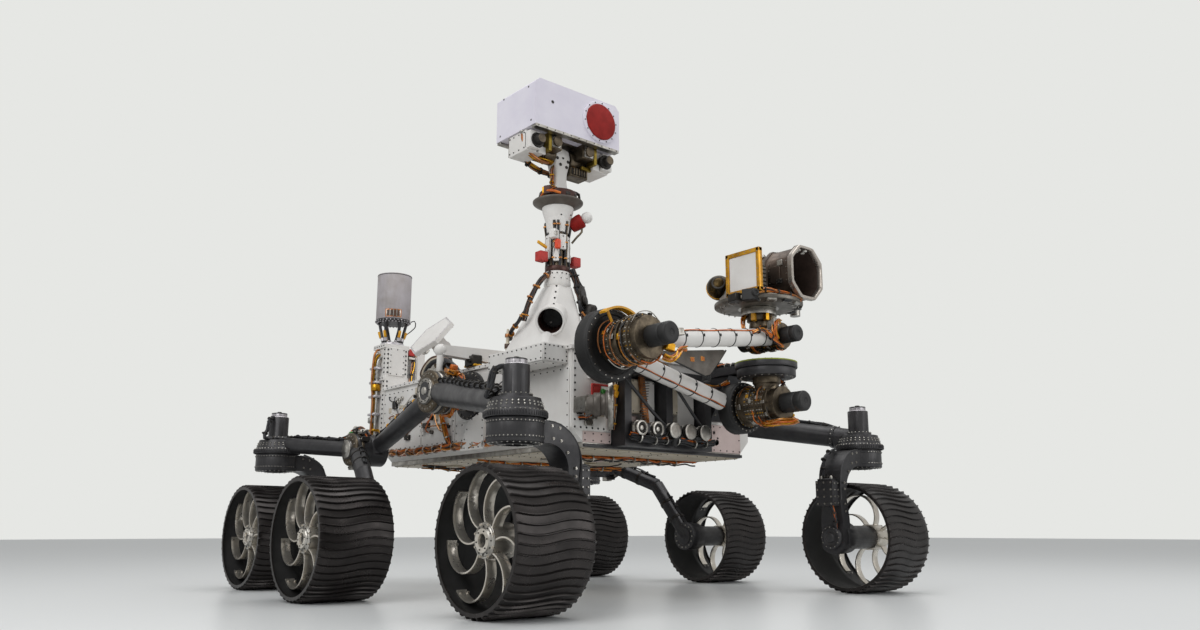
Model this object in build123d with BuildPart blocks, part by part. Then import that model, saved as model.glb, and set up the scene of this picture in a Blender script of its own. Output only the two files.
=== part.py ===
"""Six-wheeled planetary rover, standing level on a flat floor, mast up and arm folded across its nose.

Millimetres. +Z is up, the rover faces -Y and its left side is +X. The origin is on the floor,
in the middle of the rover's footprint.
"""

import os
from math import cos, radians, sin

from build123d import *

# Wheels
WHEEL_RADIUS = 263.0  # out to the lugs' tips
LUG_HEIGHT = 9.0
LUG_COUNT = 48
RIM_WALL = 7.0
WHEEL_WIDTH = 330.0
SPOKE_COUNT = 8
SPOKE_WALL = 6.0
SPOKE_WIDTH = 40.0
SPOKE_FOOT = 30.0
SPOKE_RECESS = 47.0  # from the rim's outer edge in to the spokes
SPOKE_BELLY = (175.0, 15.0)  # the point in the wheel's face that a spoke bows through
HUB_RADIUS = 62.0
HUB_LENGTH = 96.0
HUB_CAP = 14.0
HUB_BORE = 24.0
CORNER_TRACK = 2120.0  # between the middles of the front or rear wheels
MIDDLE_TRACK = 2420.0
FRONT_AXLE_Y = -1100.0
MIDDLE_AXLE_Y = 35.0
REAR_AXLE_Y = 1065.0
BEARING_GAP = 0.3  # between faces that turn on each other
RUN_GAP = 5.0  # between moving pieces elsewhere

# Suspension
STEER_DISC_RADIUS = 104.0
STEER_DISC_LOW = 604.0
STEER_DISC_HIGH = 690.0
STEER_FLANGE_RADIUS = 116.0
STEER_FLANGE_HEIGHT = 24.0
STEER_NECK_RADIUS = 92.0
STEER_NECK_TOP = 762.0
STEER_MOTOR_RADIUS = 50.0
STEER_MOTOR_TOP = 885.0
STEER_CAP_RADIUS = 40.0
STEER_CAP_TOP = 908.0
LEG_CLEARANCE = 38.0  # from the leg to the wheel's inner edge
LEG_THICKNESS = 56.0
LEG_WIDTH = 124.0
LEG_FOOT_RADIUS = 78.0
LEG_BOX = (52.0, 96.0, 118.0)  # the cable box on the leg's inner face
LEG_BOX_Z = 470.0
DRIVE_FLANGE_RADIUS = 74.0
DRIVE_FLANGE_LENGTH = 46.0
DRIVE_RADIUS = 56.0
FRONT_TUBE = (50.0, 60.0)  # radius at the steering housing and at the pivot
REAR_TUBE = (54.0, 42.0)  # radius at the pivot and at the bogie
BOGIE_TUBE = 40.0
TUBE_Z = 742.0  # where a tube meets its steering housing
PIVOT_RADIUS = 98.0
ROCKER_PIVOT = (745.0, -40.0, 930.0)  # left side; the right side has -X
ROCKER_WIDTH = 124.0
BODY_FLANGE_RADIUS = 116.0
BODY_FLANGE_THICKNESS = 26.0
BOGIE_PIVOT = (845.0, 570.0, 695.0)
BOGIE_WIDTH = 90.0
BOGIE_DRUM_RADIUS = 80.0
MIDDLE_KNEE = (958.0, 262.0, 560.0)
BAR_RISE = 62.0  # from the deck up to the differential bar
BAR_HEIGHTS = (96.0, 46.0)  # at the deck's middle and at the ends
BAR_DEPTH = 52.0
LINK_RADIUS = 17.0

# Body
BODY_WIDTH = 1120.0
BODY_FRONT_Y = -800.0
BODY_REAR_Y = 850.0
BODY_LOW = 640.0
BODY_HIGH = 1070.0
BODY_BEVEL = 60.0
DECK_THICKNESS = 18.0
DECK_OVERHANG = 14.0
PAN_THICKNESS = 22.0
SHELF_REACH = 130.0  # the deck's corner under the mast, out from the side wall
SHELF_HEIGHT = 78.0
SHELF_FRONT_GAP = 30.0  # back from the nose
SHELF_LENGTH = 400.0
BAY_X = (-340.0, 200.0)  # the open frame across the nose
BAY_Z = (650.0, 1000.0)
BAY_BAR = 40.0
BAY_DEPTH = 90.0
RAIL_HEIGHTS = (66.0, 94.0)  # above the frame's foot
RAIL_RADIUS = 11.0
RAIL_INSET = 20.0
CANISTER_COUNT = 5
CANISTER_RADIUS = 30.0
CANISTER_PITCH = 96.0
CANISTER_INSET = 60.0
CANISTER_REACH = 128.0
CANISTER_RISE = 76.0
PORT_MIDDLE = (-452.0, -912.0, 812.0)
PORT_NORMAL = (0.74, -0.67, 0.0)
PORT_RADIUS = 106.0
PORT_THICKNESS = 18.0
PORT_SLOT = (70.0, 26.0)
PORT_DRUM_RADIUS = 40.0
PORT_DRUM_LENGTH = 96.0
PORT_ARM = (60.0, 64.0)

# Mast
MAST_X = -455.0
MAST_Y = -560.0
FOOT_BASE = (270.0, 320.0)
FOOT_SHIFT = -60.0  # the foot's base leans out over the deck's corner
FOOT_NECK = 112.0
FOOT_CORNER = 30.0
FAIRING_LENGTH = 330.0
FAIRING_THICKNESS = 76.0
FAIRING_TAIL = (30.0, 26.0)
FAIRING_DROP = 60.0
MAST_FOOT_TOP = 1380.0
CLAMP_RADIUS = 60.0
CLAMP_HEIGHT = 72.0
COLLAR_RADIUS = 56.0
COLLAR_HEIGHT = 34.0
CORE_RADIUS = 46.0
CONE_HEIGHT = 122.0
CONE_RADII = (50.0, 72.0)
MAST_TOP = 1762.0
BOOM_DROP = 232.0  # from the mast's top to the folded sensor booms
BOOM_REACH = 92.0
BOOM_DEPTH = 28.0
BOOM_HEIGHT = 32.0
BOOM_END = (22.0, 68.0)  # radius and height
SENSOR_BASE = (70.0, -30.0, -72.0)  # the covered sensor, from the mast's top
SENSOR_TIP = (96.0, -66.0, -50.0)
SENSOR_RADIUS = 34.0
SENSOR_KNOB = 27.0
HORN_RADIUS = 62.0
HORN_WALL = 7.0
HORN_MIDDLE = (-500.0, -600.0, 1240.0)
HORN_MOUTH = (-610.0, -712.0, 1180.0)
SAUCER_RADIUS = 118.0
SAUCER_HEIGHT = 30.0
PAN_DRUM_RADIUS = 88.0
PAN_DRUM_HEIGHT = 46.0
TILT_AXIS_Z = 2010.0
TILT_RADIUS = 45.0
TILT_MOTOR_RADIUS = 38.0
YOKE_WIDTH = 90.0
YOKE_HALF_DEPTH = 38.0
HEAD_RISE = 56.0  # from the tilt axis up to the head box
CAMERA_BAR_LENGTH = 480.0
CAMERA_BLOCK = (92.0, 128.0, 96.0)
CAMERA_RADIUS = 20.0
CAMERA_FRONT = 142.0
HEAD_WIDTH = 500.0
HEAD_DEPTH = 300.0
HEAD_HEIGHT = 225.0
WINDOW_RADIUS = 86.0
WINDOW_RING_RADIUS = 103.0
WINDOW_X = 128.0

# Arm, folded across the nose
SHOULDER_X = 240.0
SHOULDER_Y = -1190.0
SHOULDER_Z = 840.0
ELBOW_X = -560.0
ELBOW_Z = 1030.0
WRIST_X = 250.0
WRIST_Z = 1142.0
ARM_TUBE_RADIUS = 40.0
ARM_DISC_HEIGHT = 78.0
ELBOW_DISC_RADIUS = 150.0
ELBOW_DRUM_RADIUS = 102.0
SHOULDER_DISC_RADIUS = 116.0
SHOULDER_DRUM_RADIUS = 90.0
SHOULDER_POST_RADIUS = 60.0
ARM_MOTOR_RADIUS = 45.0
WRIST_RADIUS = 62.0
UPPER_ARM_Y = -1035.0
UPPER_TUBE_Y = -1012.0
FOREARM_Y = -1235.0
FOREARM_COLLAR = 55.0
ARM_FRONT_Y = -1285.0
ARM_MOTOR_FRONT_Y = -1400.0
AZIMUTH_RADIUS = 138.0
AZIMUTH_STEP = 8.0
AZIMUTH_HEIGHT = 38.0
BRACKET_LOW = 1000.0
BRACKET_HIGH = 1030.0
BRACKET_ROOT_X = 300.0
BRACKET_HALF_WIDTH = 52.0
BRACKET_FOOT_LOW = 800.0
TURRET_Y = -1150.0
TURRET_LOW = 1284.0
TURRET_PLATE_RADIUS = 200.0
TURRET_PLATE_HEIGHT = 26.0
DRILL_HALF_WIDTH = 112.0
DRILL_HEIGHT = 245.0
DRILL_CORNER = 62.0
DRILL_FRONT = 210.0
DRILL_BACK = 190.0
DRILL_OFFSET = 96.0
DRILL_WALL = 12.0
DRILL_DEPTH = 150.0
SENSOR_SIZE = 196.0
SENSOR_OFFSET = 150.0
SPHERE_RADIUS = 58.0

# Antennas
DISH_X, DISH_Y = -420.0, 490.0
DISH_POST_TOP = 1180.0
DISH_AXIS_Z = 1262.0
DISH_RADIUS = 150.0
DISH_THICKNESS = 24.0
DISH_OFFSET = 72.0  # from the lifting axis to the plate
DISH_REST = 40.0  # degrees that the plate looks up at rest
RELAY_X, RELAY_Y = -478.0, 945.0
RELAY_RADIUS = 97.0
RELAY_LOW, RELAY_HIGH = 1478.0, 1742.0
TOWER_SIZE = (140.0, 130.0)
TOWER_LOW, TOWER_HIGH = 760.0, 1330.0
TOWER_BAND = (8.0, 24.0)  # how far a splice stands out, and its height
TOWER_SPLICE = 360.0  # from the foot up to the middle splice
STRUT_FOOT_RADIUS = 50.0
STRUT_TOP_RADIUS = 76.0
STRUT_RADIUS = 7.0
STRUT_PLATE = (64.0, 12.0)
STALK_X, STALK_Y, STALK_TOP = 430.0, 300.0, 1500.0

# Rear power source mount and its heat exchangers
EXCHANGER_X = 330.0
EXCHANGER_THICKNESS = 46.0
EXCHANGER_REAR_Y = 1400.0
EXCHANGER_LOW, EXCHANGER_HIGH = 720.0, 1330.0
SOURCE_RING_RADIUS = 230.0
SOURCE_RING_WIDTH = 60.0
SOURCE_REACH = 110.0
SOURCE_PLATE = 24.0
SOURCE_BOLT_CIRCLE = 400.0
SOURCE_BOLT_RADIUS = 6.5
SOURCE_Z = 900.0
PAYLOAD_PLATE = (260.0, 200.0, 16.0)
PAYLOAD_X, PAYLOAD_Y = 250.0, 560.0


def rod(start, end, radius, end_radius=None):
    """Adds a round bar from one point to another, tapered if it is given a second radius."""
    run = Vector(*end) - Vector(*start)
    with Locations(Plane(origin=start, z_dir=run).location):
        if end_radius is None:
            Cylinder(radius, run.length, align=(Align.CENTER, Align.CENTER, Align.MIN))
        else:
            Cone(radius, end_radius, run.length, align=(Align.CENTER, Align.CENTER, Align.MIN))


def block(low, high, mode=Mode.ADD):
    """Adds a box between two corners to the part being built."""
    size = [abs(h - l) for l, h in zip(low, high)]
    middle = [(h + l) / 2 for l, h in zip(low, high)]
    with Locations(tuple(middle)):
        Box(*size, mode=mode)


def plate(outline, plane, thickness, mode=Mode.ADD):
    """Adds a flat plate with a straight-sided outline, thickened both ways about a plane."""
    with BuildSketch(plane) as section:
        with BuildLine():
            Polyline(*outline, close=True)
        make_face()
    extrude(section.sketch, amount=thickness / 2, both=True, mode=mode)


def save(part, label):
    part.label = label
    export_step(part, f"parts/{label}.step")


def wheel_rim(label, side, track, y):
    """A thin drum with straight lugs across it."""
    rim_radius = WHEEL_RADIUS - LUG_HEIGHT
    outer_x = side * (track + WHEEL_WIDTH) / 2
    face = Plane(origin=(outer_x, y, WHEEL_RADIUS), x_dir=(0, 1, 0), z_dir=(-side, 0, 0))
    pitch = 360 / LUG_COUNT
    # Each lug is four corners: root, tip, tip, root, as radius and share of the pitch
    lug = ((rim_radius, 0.0), (WHEEL_RADIUS, 0.03), (WHEEL_RADIUS, 0.2), (rim_radius, 0.23))
    outline = [
        (radius * cos(radians((n + share) * pitch)), radius * sin(radians((n + share) * pitch)))
        for n in range(LUG_COUNT)
        for radius, share in lug
    ]
    with BuildPart() as rim:
        with BuildSketch(face) as ring:
            with BuildLine():
                Polyline(*outline, close=True)
            make_face()
            RegularPolygon(rim_radius - RIM_WALL, LUG_COUNT, mode=Mode.SUBTRACT)
        extrude(ring.sketch, amount=WHEEL_WIDTH)
    save(rim.part, label)


def wheel_hub(label, side, track, y):
    """The turned hub and the curved spokes, whose feet sit on the rim's inner flats."""
    rim_flat = (WHEEL_RADIUS - LUG_HEIGHT - RIM_WALL) * cos(radians(180 / LUG_COUNT))
    spoke_x = side * (track / 2 + WHEEL_WIDTH / 2 - SPOKE_RECESS)
    face = Plane(origin=(spoke_x, y, WHEEL_RADIUS), x_dir=(0, 1, 0), z_dir=(-side, 0, 0))
    reach = (5 + 0.5) * 360 / LUG_COUNT  # degrees, to the middle of the sixth flat round
    foot_radius = rim_flat - SPOKE_WALL / 2
    tip = (foot_radius * cos(radians(reach)), foot_radius * sin(radians(reach)))
    with BuildPart() as hub:
        with BuildSketch(face) as core:
            Circle(HUB_RADIUS)
            Circle(HUB_BORE, mode=Mode.SUBTRACT)
        extrude(core.sketch, amount=HUB_LENGTH)
        with BuildSketch(face) as cap:
            Circle(HUB_RADIUS * 0.66)
            Circle(HUB_BORE, mode=Mode.SUBTRACT)
        extrude(cap.sketch, amount=-HUB_CAP)
        with BuildSketch(face.offset(HUB_LENGTH / 2)) as web:
            Circle(HUB_RADIUS)
        extrude(web.sketch, amount=HUB_LENGTH / 2)
        with BuildSketch(face) as spokes:
            with PolarLocations(0, SPOKE_COUNT):
                with BuildSketch() as strip:
                    with BuildLine():
                        ThreePointArc((HUB_RADIUS - SPOKE_WALL, 0), SPOKE_BELLY, tip)
                    trace(line_width=SPOKE_WALL)
                add(strip.sketch)
            with PolarLocations(foot_radius, SPOKE_COUNT, start_angle=reach):
                Rectangle(SPOKE_WALL, SPOKE_FOOT)
        extrude(spokes.sketch, amount=SPOKE_WIDTH)
    save(hub.part, label)


def leg(label, side, y):
    """The steered leg: a disc under the housing, a gooseneck over the wheel's inner edge, and the drive."""
    axis_x = CORNER_TRACK / 2
    inner = axis_x - WHEEL_WIDTH / 2 - LEG_CLEARANCE - LEG_THICKNESS
    outer = inner + LEG_THICKNESS
    top = STEER_DISC_HIGH - RUN_GAP
    bend = axis_x - STEER_DISC_RADIUS - inner
    inside = axis_x - STEER_DISC_RADIUS - outer
    foot = WHEEL_RADIUS - LEG_FOOT_RADIUS
    with BuildPart() as body:
        with BuildSketch(Plane(origin=(0, y, 0), x_dir=(side, 0, 0), z_dir=(0, -side, 0))) as arch:
            with BuildLine():
                Line((axis_x, top), (inner + bend, top))
                RadiusArc((inner + bend, top), (inner, top - bend), -bend)
                Line((inner, top - bend), (inner, foot))
                Line((inner, foot), (outer, foot))
                Line((outer, foot), (outer, STEER_DISC_LOW - inside))
                RadiusArc((outer, STEER_DISC_LOW - inside), (outer + inside, STEER_DISC_LOW), inside)
                Line((outer + inside, STEER_DISC_LOW), (axis_x, STEER_DISC_LOW))
                Line((axis_x, STEER_DISC_LOW), (axis_x, top))
            make_face()
        extrude(arch.sketch, amount=LEG_WIDTH / 2, both=True)
        with BuildSketch(Plane(origin=(0, y, 0), x_dir=(0, 1, 0), z_dir=(1, 0, 0))) as front:
            with Locations((0, WHEEL_RADIUS)):
                Circle(LEG_FOOT_RADIUS)
            with BuildLine():
                Polyline(
                    (-LEG_FOOT_RADIUS * 0.94, WHEEL_RADIUS), (-LEG_WIDTH * 0.4, STEER_DISC_LOW - bend),
                    (-LEG_WIDTH / 2, STEER_DISC_LOW), (-LEG_WIDTH / 2, top), (LEG_WIDTH / 2, top),
                    (LEG_WIDTH / 2, STEER_DISC_LOW), (LEG_WIDTH * 0.4, STEER_DISC_LOW - bend),
                    (LEG_FOOT_RADIUS * 0.94, WHEEL_RADIUS), close=True,
                )
            make_face()
        extrude(front.sketch, amount=2 * axis_x, both=True, mode=Mode.INTERSECT)
        rod((side * axis_x, y, STEER_DISC_LOW), (side * axis_x, y, STEER_DISC_HIGH), STEER_DISC_RADIUS)
        drive(side, outer, axis_x, y)
        rod(
            (side * (outer - LEG_THICKNESS / 2), y, WHEEL_RADIUS),
            (side * (inner - 14), y, WHEEL_RADIUS),
            LEG_FOOT_RADIUS * 0.7,
        )
        box_x, box_y, box_z = LEG_BOX
        block(
            (side * (inner - box_x), y - box_y / 2, LEG_BOX_Z - box_z / 2),
            (side * (inner + 4), y + box_y / 2, LEG_BOX_Z + box_z / 2),
        )
    save(body.part, label)


def drive(side, strut_x, wheel_x, y):
    """Adds a wheel's drive, from the strut that carries it to the hub's inner face."""
    hub_face = wheel_x + WHEEL_WIDTH / 2 - SPOKE_RECESS - HUB_LENGTH - BEARING_GAP
    flange_x = strut_x + DRIVE_FLANGE_LENGTH
    rod(
        (side * (strut_x - LEG_THICKNESS / 2), y, WHEEL_RADIUS),
        (side * flange_x, y, WHEEL_RADIUS),
        DRIVE_FLANGE_RADIUS,
    )
    rod((side * flange_x, y, WHEEL_RADIUS), (side * hub_face, y, WHEEL_RADIUS), DRIVE_RADIUS)


def steering_housing(side, y):
    """Adds a steering housing and its upright motor to the part being built."""
    x = side * CORNER_TRACK / 2
    low = STEER_DISC_HIGH + BEARING_GAP
    stack = (
        # radius, top
        (STEER_FLANGE_RADIUS, low + STEER_FLANGE_HEIGHT),
        (STEER_NECK_RADIUS, STEER_NECK_TOP),
        (STEER_MOTOR_RADIUS, STEER_MOTOR_TOP),
        (STEER_CAP_RADIUS, STEER_CAP_TOP),
    )
    for radius, top in stack:
        rod((x, y, low), (x, y, top), radius)


def rocker(label, side):
    """Front tube, pivot drum and rear tube, with the front steering housing."""
    px, py, pz = ROCKER_PIVOT
    bx, by, bz = BOGIE_PIVOT
    pivot = (side * px, py, pz)
    wall = BODY_WIDTH / 2
    with BuildPart() as arm:
        rod((side * CORNER_TRACK / 2, FRONT_AXLE_Y, TUBE_Z), pivot, *FRONT_TUBE)
        steering_housing(side, FRONT_AXLE_Y)
        rod((side * (px - ROCKER_WIDTH / 2), py, pz), (side * (px + ROCKER_WIDTH / 2), py, pz), PIVOT_RADIUS)
        rod((side * wall, py, pz), (side * px, py, pz), PIVOT_RADIUS * 0.72)
        rod((side * wall, py, pz), (side * (wall + BODY_FLANGE_THICKNESS), py, pz), BODY_FLANGE_RADIUS)
        cap_x = px + ROCKER_WIDTH / 2 + 18
        rod(pivot, (side * cap_x, py, pz), PIVOT_RADIUS * 0.62)
        near = bx - BOGIE_WIDTH / 2 - BEARING_GAP
        fork_x = near - REAR_TUBE[1] - RUN_GAP
        rod(pivot, (side * fork_x, by, bz), *REAR_TUBE)
        rod((side * near, by, bz), (side * (fork_x - REAR_TUBE[1]), by, bz), BOGIE_DRUM_RADIUS)
    save(arm.part, label)


def bogie(label, side):
    """Pivot drum, arm down to the middle wheel's drive, and arm back to the rear steering housing."""
    bx, by, bz = BOGIE_PIVOT
    strut = MIDDLE_TRACK / 2 - WHEEL_WIDTH / 2 - LEG_CLEARANCE
    ankle_x = strut - LEG_THICKNESS / 2
    knee = (side * MIDDLE_KNEE[0], MIDDLE_KNEE[1], MIDDLE_KNEE[2])
    ankle = (side * ankle_x, MIDDLE_AXLE_Y, WHEEL_RADIUS)
    with BuildPart() as arm:
        rod(
            (side * (bx - BOGIE_WIDTH / 2), by, bz),
            (side * (bx + BOGIE_WIDTH / 2), by, bz),
            BOGIE_DRUM_RADIUS,
        )
        rod(
            (side * (bx + BOGIE_WIDTH / 2), by, bz),
            (side * (bx + BOGIE_WIDTH / 2 + 16), by, bz),
            BOGIE_DRUM_RADIUS * 0.6,
        )
        rod((side * bx, by, bz), knee, BOGIE_TUBE)
        with Locations(knee):
            Sphere(BOGIE_TUBE)
        rod(knee, ankle, BOGIE_TUBE)
        drive(side, strut, MIDDLE_TRACK / 2, MIDDLE_AXLE_Y)
        rod(
            (side * (strut - LEG_THICKNESS), MIDDLE_AXLE_Y, WHEEL_RADIUS),
            (side * strut, MIDDLE_AXLE_Y, WHEEL_RADIUS),
            LEG_FOOT_RADIUS,
        )
        rod((side * bx, by, bz), (side * CORNER_TRACK / 2, REAR_AXLE_Y, TUBE_Z), BOGIE_TUBE)
        steering_housing(side, REAR_AXLE_Y)
    save(arm.part, label)


def body_shell():
    """The closed equipment box with bevelled lower edges."""
    half = BODY_WIDTH / 2
    low = BODY_LOW + PAN_THICKNESS
    high = BODY_HIGH - DECK_THICKNESS
    with BuildPart() as shell:
        with BuildSketch(Plane.XZ.offset(-BODY_REAR_Y)) as section:
            with BuildLine():
                Polyline(
                    (-half, high), (-half, low + BODY_BEVEL), (-half + BODY_BEVEL, low),
                    (half - BODY_BEVEL, low), (half, low + BODY_BEVEL), (half, high), close=True,
                )
            make_face()
        extrude(section.sketch, amount=BODY_REAR_Y - BODY_FRONT_Y)
    save(shell.part, "body_shell")


def deck():
    """The top plate, with the corner that reaches out under the mast."""
    half = BODY_WIDTH / 2 + DECK_OVERHANG
    with BuildPart() as top:
        block(
            (-half, BODY_FRONT_Y - DECK_OVERHANG, BODY_HIGH - DECK_THICKNESS),
            (half, BODY_REAR_Y + DECK_OVERHANG, BODY_HIGH),
        )
        front = BODY_FRONT_Y + SHELF_FRONT_GAP
        block(
            (-BODY_WIDTH / 2 - SHELF_REACH, front, BODY_HIGH - SHELF_HEIGHT),
            (-BODY_WIDTH / 2, front + SHELF_LENGTH, BODY_HIGH),
        )
    save(top.part, "deck")


def belly_pan():
    half = BODY_WIDTH / 2 - BODY_BEVEL
    with BuildPart() as pan:
        block((-half, BODY_FRONT_Y, BODY_LOW), (half, BODY_REAR_Y, BODY_LOW + PAN_THICKNESS))
    save(pan.part, "belly_pan")


def differential_bar():
    """The bar that rocks across the deck and ties the two rockers together."""
    y = ROCKER_PIVOT[1]
    z = BODY_HIGH + BAR_RISE
    reach = ROCKER_PIVOT[0]
    tall, short = (height / 2 for height in BAR_HEIGHTS)
    rocker_top = ROCKER_PIVOT[2] + PIVOT_RADIUS
    with BuildPart() as bar:
        plate(
            [
                (-reach, z - short), (0, z - tall), (reach, z - short),
                (reach, z + short), (0, z + tall), (-reach, z + short),
            ],
            Plane.XZ.offset(-y),
            BAR_DEPTH,
        )
        rod((0, y, BODY_HIGH), (0, y, z), 62)
        rod((0, y, z), (0, y, z + tall + 14), 44)
        for side in (-1, 1):
            rod((side * reach, y, z), (side * reach, y, rocker_top), LINK_RADIUS)
            with Locations((side * reach, y, z)):
                Sphere(short + 8)
    save(bar.part, "differential_bar")


def mast_foot():
    """The faired foot: a tapered casting with an open horn that faces forward and down."""
    with BuildPart() as foot:
        with BuildSketch(Plane.XY.offset(BODY_HIGH)) as low:
            with Locations((MAST_X + FOOT_SHIFT, MAST_Y)):
                RectangleRounded(*FOOT_BASE, FOOT_CORNER)
        with BuildSketch(Plane.XY.offset(MAST_FOOT_TOP)) as high:
            with Locations((MAST_X, MAST_Y)):
                RectangleRounded(FOOT_NECK, FOOT_NECK, FOOT_CORNER)
        loft(sections=[low.sketch, high.sketch], ruled=True)
        tail = MAST_Y + FAIRING_LENGTH
        tail_run, tail_rise = FAIRING_TAIL
        plate(
            [
                (MAST_Y, BODY_HIGH), (tail, BODY_HIGH), (tail - tail_run, BODY_HIGH + tail_rise),
                (MAST_Y + FOOT_NECK / 3, MAST_FOOT_TOP - FAIRING_DROP),
            ],
            Plane(origin=(MAST_X + FOOT_SHIFT / 3, 0, 0), x_dir=(0, 1, 0), z_dir=(1, 0, 0)),
            FAIRING_THICKNESS,
        )
        rod(HORN_MOUTH, HORN_MIDDLE, HORN_RADIUS)
        run = Vector(*HORN_MIDDLE) - Vector(*HORN_MOUTH)
        with Locations(Plane(origin=HORN_MOUTH, z_dir=run).location):
            Cylinder(
                HORN_RADIUS - HORN_WALL,
                run.length * 0.8,
                align=(Align.CENTER, Align.CENTER, Align.MIN),
                mode=Mode.SUBTRACT,
            )
    save(foot.part, "mast_foot")


def mast_tube():
    """The mast from its clamp up to the turning head, with the sensor booms folded against it."""
    collar = MAST_FOOT_TOP + CLAMP_HEIGHT
    core = collar + COLLAR_HEIGHT
    cone = MAST_TOP - CONE_HEIGHT
    stages = (
        # low, high, low radius, high radius
        (MAST_FOOT_TOP, collar, CLAMP_RADIUS, None),
        (collar, core, COLLAR_RADIUS, None),
        (core, cone, CORE_RADIUS, None),
        (cone, MAST_TOP, *CONE_RADII),
    )
    boom_z = MAST_TOP - BOOM_DROP
    end_radius, end_height = BOOM_END
    top = Vector(MAST_X, MAST_Y, MAST_TOP)
    base, tip = top + Vector(*SENSOR_BASE), top + Vector(*SENSOR_TIP)
    with BuildPart() as tube:
        for low, high, radius, high_radius in stages:
            rod((MAST_X, MAST_Y, low), (MAST_X, MAST_Y, high), radius, high_radius)
        for side in (-1, 1):
            x = MAST_X + side * BOOM_REACH
            block(
                (MAST_X, MAST_Y - BOOM_DEPTH / 2, boom_z - BOOM_HEIGHT / 2),
                (x, MAST_Y + BOOM_DEPTH / 2, boom_z + BOOM_HEIGHT / 2),
            )
            rod((x, MAST_Y, boom_z - end_height / 2), (x, MAST_Y, boom_z + end_height / 2), end_radius)
        rod(base, tip, SENSOR_RADIUS)
        with Locations(tip + (tip - base) * 0.5):
            Sphere(SENSOR_KNOB)
        block(
            (MAST_X, base.Y - SENSOR_RADIUS / 6, base.Z - SENSOR_RADIUS),
            (base.X + 8, base.Y + SENSOR_RADIUS / 2, base.Z + 24),
        )
    save(tube.part, "mast_tube")


def mast_neck():
    """The panning saucer and drum, and the post that the head tilts on."""
    low = MAST_TOP + BEARING_GAP
    disc = low + SAUCER_HEIGHT
    top = disc + PAN_DRUM_HEIGHT
    half = YOKE_WIDTH / 2
    with BuildPart() as neck:
        rod((MAST_X, MAST_Y, low), (MAST_X, MAST_Y, disc), SAUCER_RADIUS * 0.66, SAUCER_RADIUS)
        rod((MAST_X, MAST_Y, disc), (MAST_X, MAST_Y, top), PAN_DRUM_RADIUS)
        block(
            (MAST_X - half, MAST_Y - YOKE_HALF_DEPTH, top),
            (MAST_X + half, MAST_Y + YOKE_HALF_DEPTH, TILT_AXIS_Z),
        )
        rod((MAST_X - half, MAST_Y, TILT_AXIS_Z), (MAST_X + half, MAST_Y, TILT_AXIS_Z), TILT_RADIUS)
    save(neck.part, "mast_neck")


def camera_bar():
    """The blocks beside the post, with the tilt drums and motors and the paired cameras."""
    high = TILT_AXIS_Z + HEAD_RISE
    block_x, block_y, block_z = CAMERA_BLOCK
    half = YOKE_WIDTH / 2
    with BuildPart() as bar:
        for side in (-1, 1):
            near = MAST_X + side * (half + BEARING_GAP)
            motor = MAST_X + side * (CAMERA_BAR_LENGTH / 2 - block_x)
            outer = MAST_X + side * CAMERA_BAR_LENGTH / 2
            rod((near, MAST_Y, TILT_AXIS_Z), (near + side * 60, MAST_Y, TILT_AXIS_Z), TILT_RADIUS)
            rod((near, MAST_Y, TILT_AXIS_Z), (motor, MAST_Y, TILT_AXIS_Z), TILT_MOTOR_RADIUS)
            block(
                (outer - side * block_x, MAST_Y - block_y / 2, high - block_z),
                (outer, MAST_Y + block_y / 2, high),
            )
            lens_x = outer - side * block_x * 0.42
            rod((lens_x, MAST_Y - CAMERA_FRONT, high - 54), (lens_x, MAST_Y, high - 54), CAMERA_RADIUS)
            rod(
                (lens_x, MAST_Y - block_y / 2 - 24, high - 54),
                (lens_x, MAST_Y, high - 54),
                CAMERA_RADIUS + 12,
            )
            box_x = MAST_X + side * (half + RUN_GAP + 12)
            block((box_x, MAST_Y - 104, high - 66), (box_x + side * 66, MAST_Y, high))
            rod((box_x + side * 33, MAST_Y - 122, high - 34), (box_x + side * 33, MAST_Y, high - 34), CAMERA_RADIUS + 4)
        block(
            (MAST_X - CAMERA_BAR_LENGTH / 2, MAST_Y - block_y / 2, high - 5),
            (MAST_X + CAMERA_BAR_LENGTH / 2, MAST_Y + block_y / 2, high),
        )
    save(bar.part, "camera_bar")


def head_box():
    """The instrument box on top of the mast, with its round window."""
    low = TILT_AXIS_Z + HEAD_RISE
    front = MAST_Y - HEAD_DEPTH / 2
    with BuildPart() as box:
        block(
            (MAST_X - HEAD_WIDTH / 2, front, low),
            (MAST_X + HEAD_WIDTH / 2, front + HEAD_DEPTH, low + HEAD_HEIGHT),
        )
        chamfer(box.edges().filter_by(Axis.Y).group_by(Axis.Z)[-1], 24)
        window = (MAST_X + WINDOW_X, front, low + HEAD_HEIGHT / 2)
        rod((window[0], front - 5, window[2]), window, WINDOW_RING_RADIUS)
        rod((window[0], front - 12, window[2]), window, WINDOW_RADIUS)
    save(box.part, "head_box")


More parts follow.
